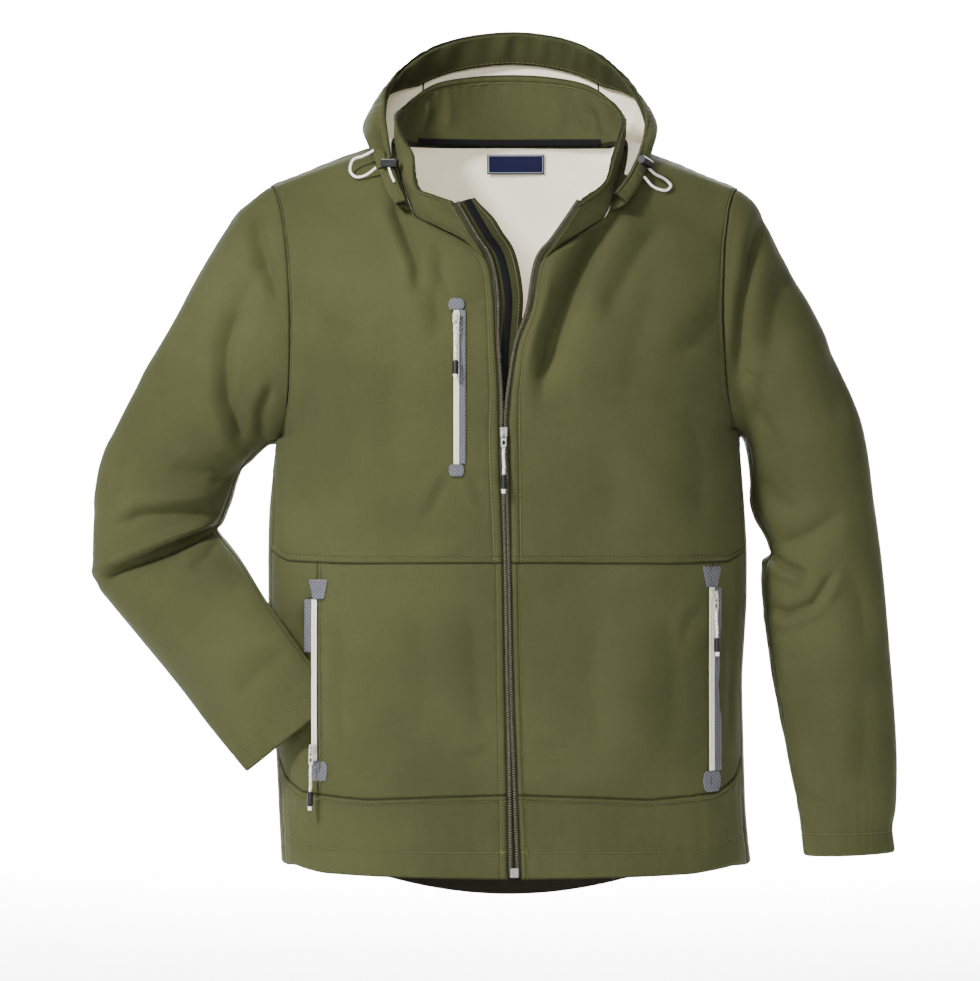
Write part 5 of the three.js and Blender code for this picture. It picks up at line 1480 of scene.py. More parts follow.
BACK_FINISH = Finish(low=24, high=5, turned=(58, 3, 8, 8), tuck=(0, 0.5, 0.9, 0.9))
UPPER_FINISH = Finish(low=5.5, start=6.5, end=5.5, turned=(3, 14, 26, 12), tuck=(0.5, 3.6, 0.3, 0.9))
LOWER_FINISH = Finish(start=6.5, end=5.0, turned=(3, 3, 26, 3))
BAND_FINISH = Finish(low=26, high=5.5, start=6.5, turned=(27, 3, 26, 3))
SLEEVE_FINISH = Finish(high=22, turned=(14, 24, 3, 3), tuck=(1.0, 0, 0.5, 0.5))
COLLAR_FINISH = Finish(high=5.5, start=6, end=6, pucker=0.4, bead=1.3, tuck=(3.4, 0.3, 0.3, 0.3))
FACING_FINISH = Finish(high=5, pucker=0.45, round_off=0.5, bead=0.9)


@dataclass
class Torso:
    """The fronts, the side pieces, the hem band and the back."""

    wardrobe: Wardrobe
    fine: int = 26
    seeds: dict[str, int] = field(default_factory=lambda: {"upper": 3, "lower": 11, "side": 21, "band": 31})

    def build(self) -> None:
        """Builds and dresses the pieces of the body."""
        for side in Side:
            self.upper(side)
            self.lower(side)
        # Within its turned-in edges, above all the 58 mm hem, the back's inner face takes the near-black
        # painted shade instead of fleece.
        piece = ClothPiece("back", back_grid(3), 1, BACK_FINISH, BACK_FOLDS, seed=5, uneven=1.8, long=110,
                           bound=2, calmed=120)
        piece.build("olive_cloth", self.wardrobe.olive, self.wardrobe.fleece, self.wardrobe.hem)

    def cloth(self, name: str, grid: Array, side: Side, finish: Finish, seed: int, uneven: float = 0.9,
              calmed: int = 0) -> None:
        """Builds one piece of a front from a grid that runs from the front edge outwards."""
        seed += 50 if side is Side.LEFT else 0
        piece = ClothPiece(f"{name}_{side.value}", grid, -side.sign, finish, FRONT_FOLDS, seed=seed,
                           uneven=uneven, calmed=calmed, at_edge=0.0 if calmed else 0.12)
        piece.build("olive_cloth", self.wardrobe.olive, self.wardrobe.fleece)

    def upper(self, side: Side) -> None:
        """The upper front."""
        grid = upper_front(side, self.fine)
        self.cloth("upper_front", grid, side, UPPER_FINISH, self.seeds["upper"], calmed=90)

    def lower(self, side: Side) -> None:
        """The lower front, its side piece and the hem band."""
        up = np.linspace(0, 1, 13)[:, None]
        front = np.linspace(0, POCKET_COLUMN, 28)[None, :]
        grid = lower_spot(side, Lip.FRONT, front, BAND_SEAM, CHEST_SEAM, up)
        self.cloth("lower_front", grid, side, LOWER_FINISH, self.seeds["lower"])
        flank = np.linspace(POCKET_COLUMN, SIDE_COLUMN, 13)[None, :]
        grid = lower_spot(side, Lip.SIDE, flank, BAND_SEAM, CHEST_SEAM, up)
        self.cloth("lower_side", grid, side, Finish(), self.seeds["side"], 0.5)
        band = np.linspace(0, SIDE_COLUMN, 40)[None, :]
        grid = lower_spot(side, Lip.PLAIN, band, HEM, BAND_SEAM, np.linspace(0, 1, 5)[:, None])
        self.cloth("hem_band", grid, side, BAND_FINISH, self.seeds["band"], 0.6)


@dataclass
class Sleeves:
    """The two-piece sleeves with their stitched cuffs."""

    wardrobe: Wardrobe
    rows: int = 57

    def build(self) -> None:
        """Builds and dresses the sleeves' pieces."""
        spans = {"top": np.linspace(-25, 165, 45), "under": np.linspace(165, 335, 41)}
        for side in Side:
            for name, angles in spans.items():
                grid = sleeve_grid(side, angles, self.rows)
                piece = ClothPiece(f"sleeve_{side.value}_{name}", grid, -side.sign, SLEEVE_FINISH,
                                   SLEEVE_FOLDS, seed=7 if side is Side.LEFT else 9, uneven=1.5, long=70,
                                   step=2.9)
                piece.build("olive_cloth", self.wardrobe.olive, self.wardrobe.fleece)


LABEL = (-23, 37, -38, -18)


@dataclass
class Neck:
    """The stand collar, its facing, the tape over the neck seam and the blank label."""

    wardrobe: Wardrobe

    def build(self) -> None:
        """Builds and dresses the pieces round the neck."""
        last = len(COLLAR["x"]) - 1
        place = np.linspace(0, last, 4 * last + 1)[None, :]
        up = np.linspace(0, 1, 9)[:, None]
        grid = collar_point(place + 0 * up, up + 0 * place)
        hang = {"seed": 13, "uneven": 0.6, "long": 40, "step": 2.6}
        outer = ClothPiece("collar", grid, 1, COLLAR_FINISH, COLLAR_FOLDS, thick=1.6, **hang)
        outer.build("olive_cloth", self.wardrobe.olive, self.wardrobe.facing)
        inner = ClothPiece("collar_facing", grid, 1, FACING_FINISH, COLLAR_FOLDS, thick=1.2, lift=-1.9,
                           seen_inside=True, **hang)
        inner.build("facing_cloth", self.wardrobe.olive, self.wardrobe.olive)
        self.tape()
        self.label()

    def tape(self) -> None:
        """The black tape: a band carried along the neck seam on the inside."""
        count = 49
        path = collar_point(np.linspace(7, 13, count), np.full(count, 0.02))
        inward = unit(stack(-path[:, 0], -path[:, 1] - 10, 0 * path[:, 0]))
        start = path + inward * 4.9 - np.array([0, 0, 3])
        thing = band("neck_tape_piece", start, np.tile([0, 0, 1.0], (count, 1)), -inward, 7.5, 0.8)
        dress(thing, "black_tape", ("neck_tape",), self.wardrobe.black_tape, self.wardrobe.black_tape)

    def label(self) -> None:
        """The blank label: a patch that follows the inside of the back, a little inwards of it."""
        start, end, low, high = LABEL
        x = np.linspace(start, end, 31)[None, :]
        z = np.linspace(low, high, 12)[:, None]
        grid = stack(x + 0 * z, body_depth(x, z, 1) - CLOTH - 1.2, z + 0 * x)
        inner = grid - np.array([0, 0.8, 0])
        uv = uv_places((z[:, 0] - low) * MM, (x[0] - start) * MM)
        thing = closed_wall("neck_label_piece", inner, grid, uv, False)
        state_cut(thing, grid)
        dress(thing, "navy_label", ("neck_label",), self.wardrobe.label, self.wardrobe.label)


def band(name: str, path: Array, across: Array, through: Array, wide: Array | float,
         thick: float) -> Thing:
    """A narrow strip with a flat section, carried along a path.

    Args:
        name: the strip's name.
        path: the points along one of its edges.
        across: the direction to its other edge at each point.
        through: the direction of its thickness at each point.
        wide: its width.
        thick: its thickness.

    Returns:
        The strip's object.
    """
    steps = np.linspace(0, 1, 5)[None, :, None]
    outer = path[:, None] + across[:, None] * steps * np.reshape(wide, (-1, 1, 1))
    crown = 0.12 * np.sin(np.pi * steps)
    outer = outer - through[:, None] * crown
    inner = outer + through[:, None] * thick
    uv = uv_places(run_of(path), np.linspace(0, float(np.max(wide)), 5)) * MM
    made = np.cross(path[-1] - path[0], across[0])
    return closed_wall(name, outer, inner, uv, float(made @ through[0]) < 0)


def tube(name: str, path: Array, radius: Array | float, sides: int = 14) -> Thing:
    """A round tube: circles on a frame that is carried along a path without twist, closed by small end caps.

    Args:
        name: the tube's name.
        path: the points that it follows, close together.
        radius: its radius, or one for each point.
        sides: the corners of its circles.

    Returns:
        The tube's object.
    """
    ways = unit(np.gradient(path, axis=0))
    start = np.cross(ways[0], [0.0, 0.0, 1.0] if abs(ways[0][2]) < 0.9 else [0.0, 1.0, 0.0])
    frames = [start / np.linalg.norm(start)]
    for way in ways[1:]:
        moved = frames[-1] - way * (frames[-1] @ way)
        frames.append(moved / np.linalg.norm(moved))
    first = np.array(frames)
    second = np.cross(ways, first)
    angle = np.linspace(0, 2 * np.pi, sides, endpoint=False)
    wide = np.broadcast_to(np.asarray(radius, float), (len(path),))[:, None, None]
    ring = first[:, None] * np.cos(angle)[None, :, None] + second[:, None] * np.sin(angle)[None, :, None]
    body = path[:, None] + ring * wide
    caps = [path[k] + (body[k] - path[k]) * 0.05 for k in (0, -1)]
    points = np.concatenate((caps[0][None], body, caps[1][None])).reshape(-1, 3)
    rows = len(path) + 2
    faces = grid_faces(rows, sides, ring=True)
    lids = [np.stack([np.full(sides // 2 - 1, base), base + 2 * k - 1, base + 2 * k, base + 2 * k + 1], -1)
            for base, k in ((0, np.arange(1, sides // 2)), ((rows - 1) * sides, np.arange(1, sides // 2)))]
    faces = np.concatenate((faces, lids[0][:, ::-1], lids[1]))
    thing = new_mesh(name, points, faces)
    run = run_of(path)
    run = np.concatenate(([0], run, run[-1:]))
    set_uv(thing, uv_places(run * MM, angle / (2 * np.pi)))
    return thing


@dataclass(frozen=True)
class Elastic:
    """One of the hood's elastic cords.

    Attributes:
        base: the shares of the hood's rim and of its depth that the toggle's base spans.
        start, end: where the cord's ends meet the hood, and how high over it.
        loop: the loop's points seen from the front.
    """

    base: Four
    start: Triple
    end: Triple
    loop: tuple[tuple[float, float], ...]


@dataclass
class Hood:
    """The hood that hangs open behind the collar, with its rim facing, toggles and elastic."""

    wardrobe: Wardrobe
    radius: float = 1.4
    lay: float = 0.35
    tip_turned: float = 44.0
    facing_wide: float = 32.0
    facing_rows: int = 14
    facing_columns: int = 240
    elastics: dict[Side, Elastic] = field(default_factory=lambda: {
        Side.RIGHT: Elastic((0.098, 0.142, 0.1, 0.42), (0.132, 0.33, 1.55), (0.1, 0.46, 0.0),
                            ((-148.5, -30), (-159, -34), (-162, -45), (-156, -52), (-147, -51))),
        Side.LEFT: Elastic((0.877, 0.92, 0.1, 0.42), (0.89, 0.45, 0.0), (0.915, 0.45, 0.0),
                           ((148, -49), (157, -53.5), (163.4, -60.6), (158, -66), (146, -63))),
    })

    def build_cords(self) -> None:
        """Builds the elastic cords, before the rest of the jacket."""
        for side, cord in self.elastics.items():
            loop = np.array(cord.loop)
            depth = np.minimum(body_depth(loop[:, 0], loop[:, 1], -1) - self.lay - self.radius, -42)
            middle = stack(loop[:, 0], depth, loop[:, 1])
            rise = self.lay + self.radius
            start, end = (self.over(*spot[:2], spot[2] + rise) for spot in (cord.start, cord.end))
            route = np.concatenate((start[None], middle, end[None]))
            path = centripetal(route, 60)
            thing = tube(f"hood_elastic_{side.value}_piece", path, self.radius, 14)
            ends = [self.cord_end()] if side is Side.RIGHT else []
            float(run_of(path)[-1] * MM)
            dress(thing, "white_cord", (f"hood_elastic_{side.value}",), self.wardrobe.elastic)

    def over(self, share: float, down: float, height: float) -> Array:
        """A place at a height over the hood's outer side."""
        s, t = np.array([share]), np.array([down])
        return (hood_point(s, t) + hood_out(s, t) * (HOOD_CLOTH + height))[0]

    def build(self) -> None:
        """Builds and dresses the hood's pieces."""
        spans = {"hood_side_right": (0, PANEL_FROM), "hood_centre": (PANEL_FROM, PANEL_TO),
                 "hood_side_left": (PANEL_TO, 1)}
        for number, (name, (start, end)) in enumerate(spans.items()):
            share = np.linspace(start, end, 37 if end - start > 0.3 else 19)[None, :]
            t = (np.linspace(0, 1, 41) ** 1.2)[:, None]
            tips = (self.tip_turned if number == place else 0.6 for place in (0, 2))
            finish = Finish(low=8, pucker=0.4, round_off=0.9, turned=(3, 3, *tips))
            piece = ClothPiece(name, hood_point(share, t), -1, finish, HOOD_FOLDS, thick=HOOD_CLOTH,
                               lift=HOOD_CLOTH, seed=17, uneven=0.9, long=45, step=3.2)
            piece.build("olive_cloth", self.wardrobe.olive, self.wardrobe.fleece)
        self.facing()
        for side, cord in self.elastics.items():
            low, high, near, far = cord.base
            share = np.linspace(low, high, 9)[:, None]
            t = np.linspace(near, far, 9)[None, :]
            out = hood_out(share, t)
            inner = hood_point(share, t) + out * (HOOD_CLOTH + self.lay)
            outer = inner + out * 1.2
            uv = uv_places(np.linspace(0, 0.02, 9), np.linspace(0, 0.012, 9))
            thing = closed_wall(f"toggle_base_{side.value}_piece", outer, inner, uv, True)
            flat = np.ones(len(thing.data.vertices))
            set_sewing(thing, UNSEWN * flat, 0 * flat, EDGELESS * flat)
            olive = self.wardrobe.olive
            dress(thing, "olive_cloth", (f"toggle_base_{side.value}",), olive, olive)
            redress(f"hood_toggle_{side.value}", self.wardrobe.plastic)

    def cord_end(self) -> Thing:
        """Builds and dresses the short end of elastic between the right toggle and the eyelet below it."""
        shares, downs = np.array([0.098, 0.08, 0.06]), np.array([0.1, 0.09, 0.08])
        heights = HOOD_CLOTH + np.array([3.4, 2.6, 1.2])
        spots = hood_point(shares, downs) + hood_out(shares, downs) * heights[:, None]
        path = centripetal(spots, 16)
        thing = tube("hood_elastic_end_right", path, self.radius * 0.9, 12)
        return dress(thing, "white_cord", (), self.wardrobe.elastic)

    def facing(self) -> None:
        """The turned-in facing: a band along the rim on the fleece side, gathered in small waves."""
        share = np.linspace(0.013, 0.987, self.facing_columns)[None, :]
        start = hood_point(share, np.array([[0.1]])) - hood_point(share, np.array([[0.0]]))
        whole = length(start) * 10
        reach = np.minimum(0.12, self.facing_wide / whole)
        t = np.linspace(0, 1, self.facing_rows)[:, None]
        spot = t * reach + 0.006
        out = hood_out(share + 0 * t, spot)
        waves = 0.7 * np.sin(share * 230 + 5 * np.sin(share * 23))
        waves += 0.6 * np.sin(share * 111 + 3 * np.sin(share * 11))
        gathers = 2.3 * waves * np.sin(np.pi * np.clip(t, 0, 1) ** 0.7)
        outer = hood_point(share, spot) - out * (4.4 + gathers[..., None])
        inner = hood_point(share, spot) - out * 1.2
        uv = uv_places(np.linspace(0, 0.032, self.facing_rows), np.linspace(0, 0.5, self.facing_columns))
        thing = closed_wall("hood_rim_facing_piece", outer, inner, uv, True)
        state_cut(thing, inner)
        away = np.linspace(self.facing_wide, 0, self.facing_rows) - 2.0
        away, run = np.meshgrid(away, np.linspace(0, 560, self.facing_columns), indexing="ij")
        set_sewing(thing, np.stack((away, away)), np.stack((run, run)), np.full(2 * away.size, EDGELESS))
        dress(thing, "facing_cloth", ("hood_rim_facing",), self.wardrobe.facing, self.wardrobe.facing)


SPAN_STEPS = 40


def between(first: Array, last: Array, low: float, high: float, t: Array) -> Array:
    """The points at t on the straight way from one point, at low, to another, at high."""
    return first * (high - t) / (high - low) + last * (t - low) / (high - low)


def centripetal(route: Array, count: int) -> Array:
    """A smooth curve through a few points, whose knots are spaced by the root of their distances.

    Args:
        route: the points to pass.
        count: how many points to return.

    Returns:
        Points along the curve, evenly spread.
    """
    held = np.concatenate((2 * route[:1] - route[1:2], route, 2 * route[-1:] - route[-2:-1]))
    knots = np.concatenate(([0], np.cumsum(np.linalg.norm(np.diff(held, axis=0), axis=1) ** 0.5)))
    made = []
    for i in range(1, len(held) - 2):
        t = np.linspace(knots[i], knots[i + 1], SPAN_STEPS, endpoint=False)[:, None]
        k, p = knots[i - 1:i + 3], held[i - 1:i + 3]
        a = [between(p[n], p[n + 1], k[n], k[n + 1], t) for n in range(3)]
        b = [between(a[n], a[n + 1], k[n], k[n + 2], t) for n in range(2)]
        made.append(between(b[0], b[1], k[1], k[2], t))
    curve = np.concatenate(made + [route[-1:]])
    run = run_of(curve)
    return read_along(curve, run, np.linspace(0, run[-1], count))


TOOTH = np.array([[-1.2, -0.7, -0.7], [1.4, -0.45, -0.7], [1.4, 0.45, -0.7], [-1.2, 0.7, -0.7],
                  [-1.5, -0.85, 0.6], [1.6, -0.6, 0.6], [1.6, 0.6, 0.6], [-1.5, 0.85, 0.6]])
TOOTH_FACES = np.array([[0, 3, 2, 1], [4, 5, 6, 7], [0, 1, 5, 4], [1, 2, 6, 5], [2, 3, 7, 6], [3, 0, 4, 7]])


@dataclass
class FrontClosure:
    """The front zip's halves with their teeth, the flap behind them and its tape."""

    wardrobe: Wardrobe
    closed: float = -309.0
    zip_wide: float = 4.6
    pitch: float = 2.4
    flap_wide: float = 26.0
    flap_less: float = 8.0
    tape_from: float = -300.0

    def edge(self, side: Side) -> Array:
        """The front edge from the hem to the collar's top."""
        low = np.array([-752, -700, -640, -560, -500, -440.0])
        x = np.interp(low, FRONT_EDGE["z"], FRONT_EDGE[side.value])
        path = [stack(x, body_depth(x, low, -1), low)]
        rows = UPPER_FRONT[side]
        x, z = rows["x"][1:8], rows["z"][1:8]
        path.append(stack(x, body_depth(x, z, -1), z))
        path.append(np.array([[rows[axis][8] for axis in "xyz"]]))
        end = 0.0 if side is Side.RIGHT else len(COLLAR["x"]) - 1.0
        path.append(collar_point(np.full(3, end), np.array([0.35, 0.7, 0.97])))
        coarse = np.concatenate(path)
        return spline(coarse, np.linspace(0, len(coarse) - 1, 260))

    def ways(self, side: Side, path: Array) -> tuple[Array, Array]:
        """The directions across the zip and through it, which turn inwards where the zip is open."""
        opening = smooth((path[:, 2] - self.closed) / 60)
        across = unit(stack(np.full(len(path), -side.sign), 0.35 * opening, 0.3 * opening))
        through = unit(stack(-0.25 * side.sign * opening, np.ones(len(path)), 0 * opening))
        return across, through

    def build(self) -> None:
        """Builds and dresses the front closure."""
        right, left = self.edge(Side.RIGHT), self.edge(Side.LEFT)
        for side, path, other in ((Side.RIGHT, right, left), (Side.LEFT, left, right)):
            across, through = self.ways(side, path)
            gap = np.abs(np.interp(path[:, 2], other[:, 2], other[:, 0]) - path[:, 0])
            reach = np.minimum(gap / 2 - 0.3, self.zip_wide + 2.2 * smooth((path[:, 2] + 230) / 80))
            start = path + across * 0.1 + through * 0.7
            thing = band(f"front_zip_{side.value}_piece", start, across, through, reach, 1.0)
            dress(thing, "front_zip_tape", (f"front_zip_{side.value}",), self.wardrobe.zip_tape,
                  self.wardrobe.zip_tape)
            self.teeth(side, start, across, through, reach)
        self.placket(right)
        redress("front_zip_box", self.wardrobe.metal)

    def teeth(self, side: Side, start: Array, across: Array, through: Array, reach: Array) -> None:
        """The coil's teeth: one small rounded block repeated along the zip's inner edge at an even pitch."""
        inner = start + across * (reach - 1.5)[:, None] - through * 0.55
        run = run_of(inner)
        spots = np.arange(0 if side is Side.RIGHT else self.pitch / 2, run[-1], self.pitch)
        middle, *ways = (read_along(values, run, spots)[:, None] for values in (inner, across, through))
        side_way, in_way = unit(ways[0]), unit(ways[1])
        up = unit(np.cross(side_way, in_way))
        right, rise, deep = (TOOTH[None, :, i:i + 1] for i in range(3))
        points = middle + side_way * right + up * rise + in_way * deep
        faces = (TOOTH_FACES[None] + 8 * np.arange(len(spots))[:, None, None]).reshape(-1, 4)
        faces = outward_blocks(points, faces)
        thing = new_mesh(f"front_zip_teeth_{side.value}", points.reshape(-1, 3), faces)
        dress(thing, "front_zip_tape", (), self.wardrobe.teeth)

    def placket(self, path: Array) -> None:
        """The flap behind the zip: a band that starts behind the right edge, and the black tape on it."""
        across, through = self.ways(Side.RIGHT, path)
        opening = smooth((path[:, 2] + 260) / 80)
        behind = path + through * mix(6, 4, opening)[:, None] + across * mix(-4, 4.4, opening)[:, None]
        wide = self.flap_wide - self.flap_less * smooth((path[:, 2] + 110) / 30)
        thing = band("placket_piece", behind, across, through, wide, 1.2)
        steps = np.linspace(0, 1, 5)
        state_cut(thing, behind[:, None] + across[:, None] * steps[None, :, None] * wide[:, None, None])
        count = len(thing.data.vertices)
        columns = np.tile(steps, count // 5)
        away = (1 - columns) * 24 - 4
        run = np.repeat(np.arange(count // 10), 5) * 2.6
        set_sewing(thing, away, np.stack((run, run)), np.full(count, EDGELESS))
        dress(thing, "facing_cloth", ("placket",), self.wardrobe.facing, self.wardrobe.facing)
        up = path[:, 2] > self.tape_from
        start = behind[up] + across[up] * 6 - through[up] * 1.1
        tape = band("placket_tape_piece", start, across[up], through[up], 8.0, 0.7)
        dress(tape, "black_tape", ("placket_tape",), self.wardrobe.black_tape, self.wardrobe.black_tape)


def outward_blocks(points: Array, faces: Array) -> Array:
    """Turns the faces of repeated blocks so that they face away from each block's middle.

    Args:
        points: the blocks' corners, by block.
        faces: six faces for each block.

    Returns:
        The faces, turned where needed.
    """
    flat = points.reshape(-1, 3)
    corner = flat[faces]
    away = np.cross(corner[:, 1] - corner[:, 0], corner[:, 2] - corner[:, 0])
    middle = np.repeat(points.mean(1), 6, 0)
    wrong = ((corner.mean(1) - middle) * away).sum(-1) < 0
    return np.where(wrong[:, None], faces[:, ::-1], faces)


@dataclass(frozen=True)
class Pocket:
    """A zip pocket: where its zip lies, its mesh and its slider."""

    name: str
    side: Side
    x: float
    top: float
    low: float
    patch: float
    strip: float
    is_open: bool = False

    def named(self, piece: str) -> str:
        """The name of one of the pocket's pieces."""
        kind, _, where = self.name.partition("_")
        return f"{kind}_{piece}_{where}" if where else f"{kind}_{piece}"


SHEET_LEAST = 10
CORD_HALF, GRIP_HALF = 13.5, 9.0
EVEN_WIDTH = (1.0, 1.0, 1.0, 1.0, 1.0)
CHEST_TOP = (0.8, 1.0, 1.0, 0.86, 0.5)
HAND_TOP = (0.62, 0.74, 0.86, 1.0, 1.0)
POCKET_END = (0.72, 0.92, 1.0, 0.9, 0.72)


@dataclass
class Pockets:
    """The chest pocket and the two hand pockets."""

    wardrobe: Wardrobe
    half: float = 2.8
    seam: float = 0.35
    pockets: tuple[Pocket, ...] = (
        Pocket("chest", Side.RIGHT, -53.2, -191, -344, 12, 6),
        Pocket("hand_left", Side.LEFT, 203, -467, -651, 21, 7),
        Pocket("hand_right", Side.RIGHT, -192, -479, -641, 20, -7, True),
    )

    def surface(self, x: Array, z: Array, lip: Lip, out: float) -> Array:
        """Points at a height over the front."""
        y = body_depth(x, z, -1) + pocket_push(Side.RIGHT if lip is not Lip.PLAIN else Side.LEFT, lip, x, z)
        return stack(x, y - out, z)

    def patch(self, node: str, spans: Four, lip: Lip, out: float, thick: float,
              skin: Material, slot: str, ribs: float = 0.0,
              outline: tuple[float, ...] = EVEN_WIDTH) -> Thing:
        """A thin patch on the front's surface, with edges that are turned down.

        Args:
            node: the solid that it stands for.
            spans: its lowest and highest place across, and its lowest and highest height.
            lip: which lip of an open pocket it lies on.
            out: its distance from the surface.
            thick: its thickness.
            skin: its material.
            slot: its material slot.
            ribs: the depth of the groove along its middle.
            outline: its width at five heights from its low end to its high end, as shares of the whole width.

        Returns:
            The patch's object.
        """
        from_x, to_x, low, high = spans
        z = np.linspace(low, high, max(8, int((high - low) / 1.2)))[:, None]
        middle = (np.linspace(0, 1, 15)[None, :] - 0.5) * 2
        up = (z - low) / (high - low)
        narrow = np.interp(up, (0, 0.25, 0.55, 0.85, 1), outline)
        x = (from_x + to_x) / 2 + middle * narrow * (to_x - from_x) / 2
        crown = -ribs * np.exp(-((middle / 0.16) ** 2)) - 0.35 * np.abs(middle) ** 6
        wave = ribs * 0.35 * np.sin(z * 2 * np.pi / 3.2) * (1 - middle**2)
        base = self.surface(x, z, lip, out)
        outer = base - np.array([0, 1.0, 0]) * (thick + crown + wave)[..., None]
        uv = np.stack((x - from_x, z - low + 0 * x), -1).reshape(-1, 2) * MM
        thing = closed_wall(f"{node}_piece", outer, base, uv, False)
        if slot == "mesh_cloth" and to_x - from_x > SHEET_LEAST:
            state_cut(thing, base)
        return dress(thing, slot, (node,), skin, skin)

    def build(self) -> None:
        """Builds and dresses the pockets and all four pulls."""
        mesh = self.wardrobe.mesh
        for pocket in self.pockets:
            is_chest = pocket.name == "chest"
            lip = Lip.FRONT if pocket.is_open else Lip.PLAIN
            level = self.seam + 0.2
            zip_x = pocket.x - self.half - self.seam - 1 if pocket.is_open else pocket.x
            spans = (zip_x - self.half, zip_x + self.half, pocket.low, pocket.top)
            self.patch(pocket.named("zip"), spans, lip, -1.4 if pocket.is_open else level, 1.3,
                       self.wardrobe.coil, "pocket_zip", 0.5)
            wide = 8 if is_chest else 9.5
            sides = (pocket.x - wide, pocket.x + wide)
            start = zip_x - self.half - self.seam - 7 if pocket.is_open else pocket.x + self.half + self.seam
            strip_low, strip_out = (-532, -0.9) if pocket.is_open else (pocket.low, level)
            for end, spans, out, outline in (
                ("top", (*sides, pocket.top + self.seam, pocket.top + pocket.patch), level,
                 CHEST_TOP if is_chest else HAND_TOP),
                ("low", (*sides, pocket.low - pocket.patch, pocket.low - self.seam), level, POCKET_END),
                ("strip", (start, start + abs(pocket.strip), strip_low, pocket.top), strip_out, EVEN_WIDTH),
            ):
                node = pocket.named(f"mesh_{end}")
                self.patch(node, spans, lip, out, 0.8, mesh, "mesh_cloth", outline=outline)
        self.pulls()

    def pulls(self) -> None:
        """The pulls: a speckled cord out of each tab, and a black grip with a white end."""
        for body, form in (("front_zip_pull", "front_zip_{}"), ("chest_pull", "chest_{}"),
                           ("hand_pull_left", "hand_{}_left"), ("hand_pull_right", "hand_{}_right")):
            middles = {}
            for piece in ("tab", "cord", "grip"):
                low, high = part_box(form.format(piece))
                middles[piece] = (np.array(low) + np.array(high)) / 2 / MM
            way = unit(middles["grip"] - middles["cord"])
            steps = np.linspace(-CORD_HALF, CORD_HALF, 40)[:, None]
            wander = np.array([0.35, 0, 0]) * np.sin(steps / 4) * np.cos(np.pi * steps / (2 * CORD_HALF))
            cord = tube(form.format("cord") + "_piece", middles["cord"] + way * steps + wander, 1.5, 12)
            dress(cord, "white_cord", (form.format("cord"),), self.wardrobe.braid, body=body)
            steps = np.linspace(-GRIP_HALF, GRIP_HALF, 37)
            radius = np.where(steps > 5.2, 2.0, 3.0 + 0.12 * np.cos(steps * 2.6))
            radius[0], radius[-1] = 2.5, 1.7
            grip = tube(form.format("grip") + "_piece", middles["grip"] + way * steps[:, None], radius, 16)
            centres = np.empty(3 * len(grip.data.polygons), np.float32)
            grip.data.polygons.foreach_get("center", centres)
            white = centres.reshape(-1, 3) @ way > (middles["grip"] @ way + 5.0) * MM
            grip.data.polygons.foreach_set("material_index", white.astype(np.int32))
            dress(grip, "black_plastic", (form.format("grip"),), self.wardrobe.plastic, self.wardrobe.tip,
                  body=body)
            skin = self.wardrobe.metal if body == "front_zip_pull" else self.wardrobe.enamel
            for piece in ("slider", "tab"):
                redress(form.format(piece), skin)


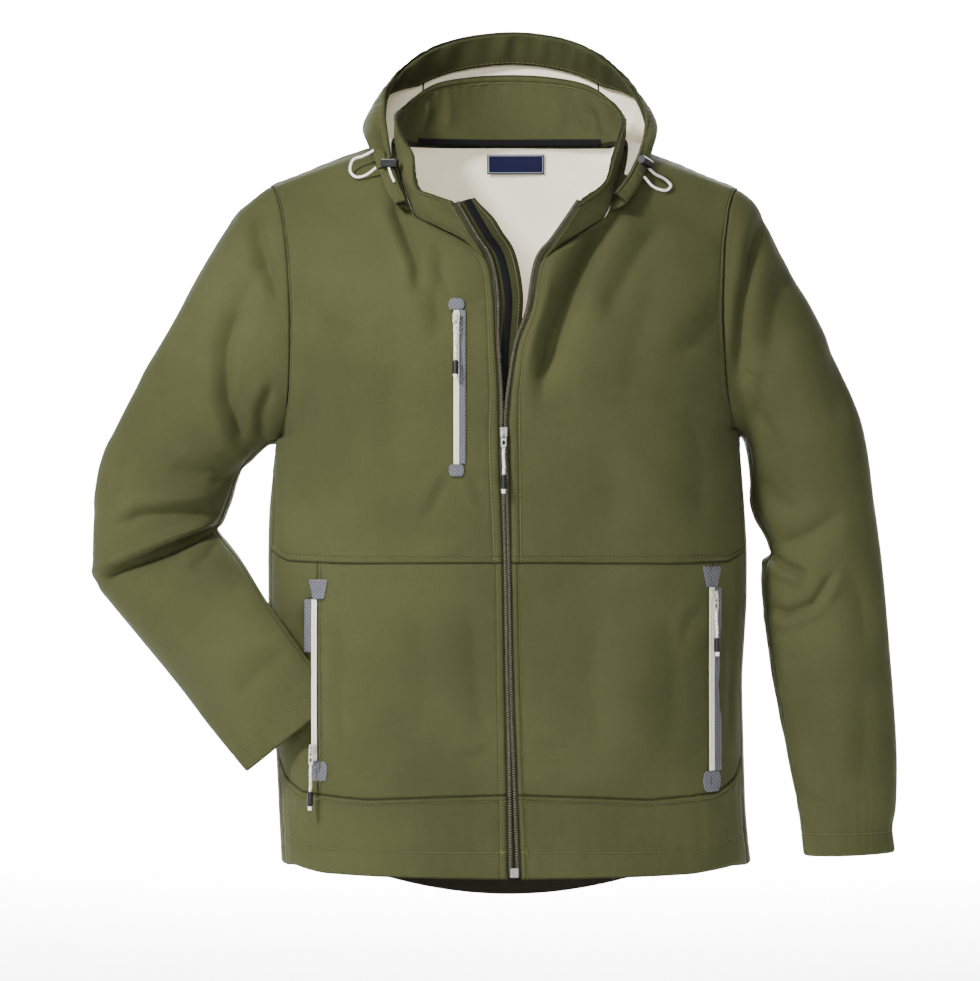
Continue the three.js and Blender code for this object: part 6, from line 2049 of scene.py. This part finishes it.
@dataclass(frozen=True)
class Studio:
    """The pale floor and backdrop, the soft lights and the camera."""

    floor: float = -1.02
    deep: float = 5.4
    sweep: float = 1.2
    wide: float = 9.0
    high: float = 7.0

    def camera(self) -> None:
        """Places the camera level with the jacket's middle, in front of it."""
        data = bpy.data.cameras.new("camera")
        data.sensor_width = SENSOR
        data.lens = FOCUS / PICTURE_WIDE * SENSOR
        data.clip_end = 60.0
        thing = bpy.data.objects.new("camera", data)
        thing.location = [value * MM for value in CAMERA]
        thing.rotation_euler = (math.radians(90), 0, 0)
        put(thing)
        bpy.context.scene.camera = thing

    def lights(self) -> None:
        """Places large soft lights and an even pale surrounding light."""
        jacket, backdrop, ground = (0, 0, -0.35), (0, 6.0, -0.9), (0, 2.2, self.floor)
        for name, place, size, energy, target in (
            ("key", (-1.7, -1.7, 1.45), 0.42, 185.0, jacket),
            ("behind", (1.2, 2.6, 1.8), 1.4, 40.0, jacket),
            ("front", (0.1, -3.9, 0.9), 1.2, 98.0, jacket),
            ("top", (-0.3, -0.7, 2.4), 0.8, 26.0, jacket),
            ("backdrop_left", (-2.4, 4.9, 1.2), 1.4, 520.0, backdrop),
            ("backdrop_right", (2.4, 4.9, 1.2), 1.4, 520.0, backdrop),
            ("backdrop_floor", (0.0, 3.2, 2.2), 2.0, 1700.0, backdrop),
            ("near_floor", (0.0, 2.5, 1.3), 1.6, 330.0, ground),
        ):
            data = bpy.data.lights.new(name, "AREA")
            data.size = size
            data.energy = energy
            thing = bpy.data.objects.new(name, data)
            thing.location = place
            aim = Vector(target) - Vector(place)
            thing.rotation_euler = aim.to_track_quat("-Z", "Y").to_euler()
            put(thing)
        world = bpy.data.worlds.new("surroundings")
        world.use_nodes = True
        world.node_tree.nodes["Background"].inputs["Color"].default_value = (1.0, 1.0, 1.0, 1.0)
        world.node_tree.nodes["Background"].inputs["Strength"].default_value = 0.25
        bpy.context.scene.world = world

    def stage(self) -> None:
        """The floor, swept up into a backdrop by a quarter circle."""
        angle = np.linspace(0, math.pi / 2, 17)
        out, up = self.sweep * np.sin(angle), self.sweep * (1 - np.cos(angle))
        profile = np.concatenate((
            [[-self.wide, self.floor]],
            np.stack((self.deep + out, self.floor + up), -1),
            [[self.deep + self.sweep, self.high]],
        ))
        points = stack(np.array([[-self.wide, self.wide]]), profile[:, :1], profile[:, 1:])
        thing = new_mesh("floor", points.reshape(-1, 3) / MM, grid_faces(len(profile), 2)[:, ::-1])
        material = bpy.data.materials.new("pale_floor")
        material.use_nodes = True
        shader = material.node_tree.nodes["Principled BSDF"]
        shader.inputs["Base Color"].default_value = (0.96, 0.96, 0.96, 1.0)
        shader.inputs["Roughness"].default_value = 0.9
        thing.data.materials.append(material)


def main() -> None:
    """Builds the whole scene in order."""
    logging.basicConfig(level=logging.INFO, format="%(name)s: %(message)s")
    studio = Studio()
    studio.camera()
    wardrobe = Wardrobe()
    hood = Hood(wardrobe)
    hood.build_cords()
    hood.build()
    Torso(wardrobe).build()
    Sleeves(wardrobe).build()
    Neck(wardrobe).build()
    FrontClosure(wardrobe).build()
    Pockets(wardrobe).build()
    studio.lights()
    studio.stage()


if __name__ == "__main__":
    main()
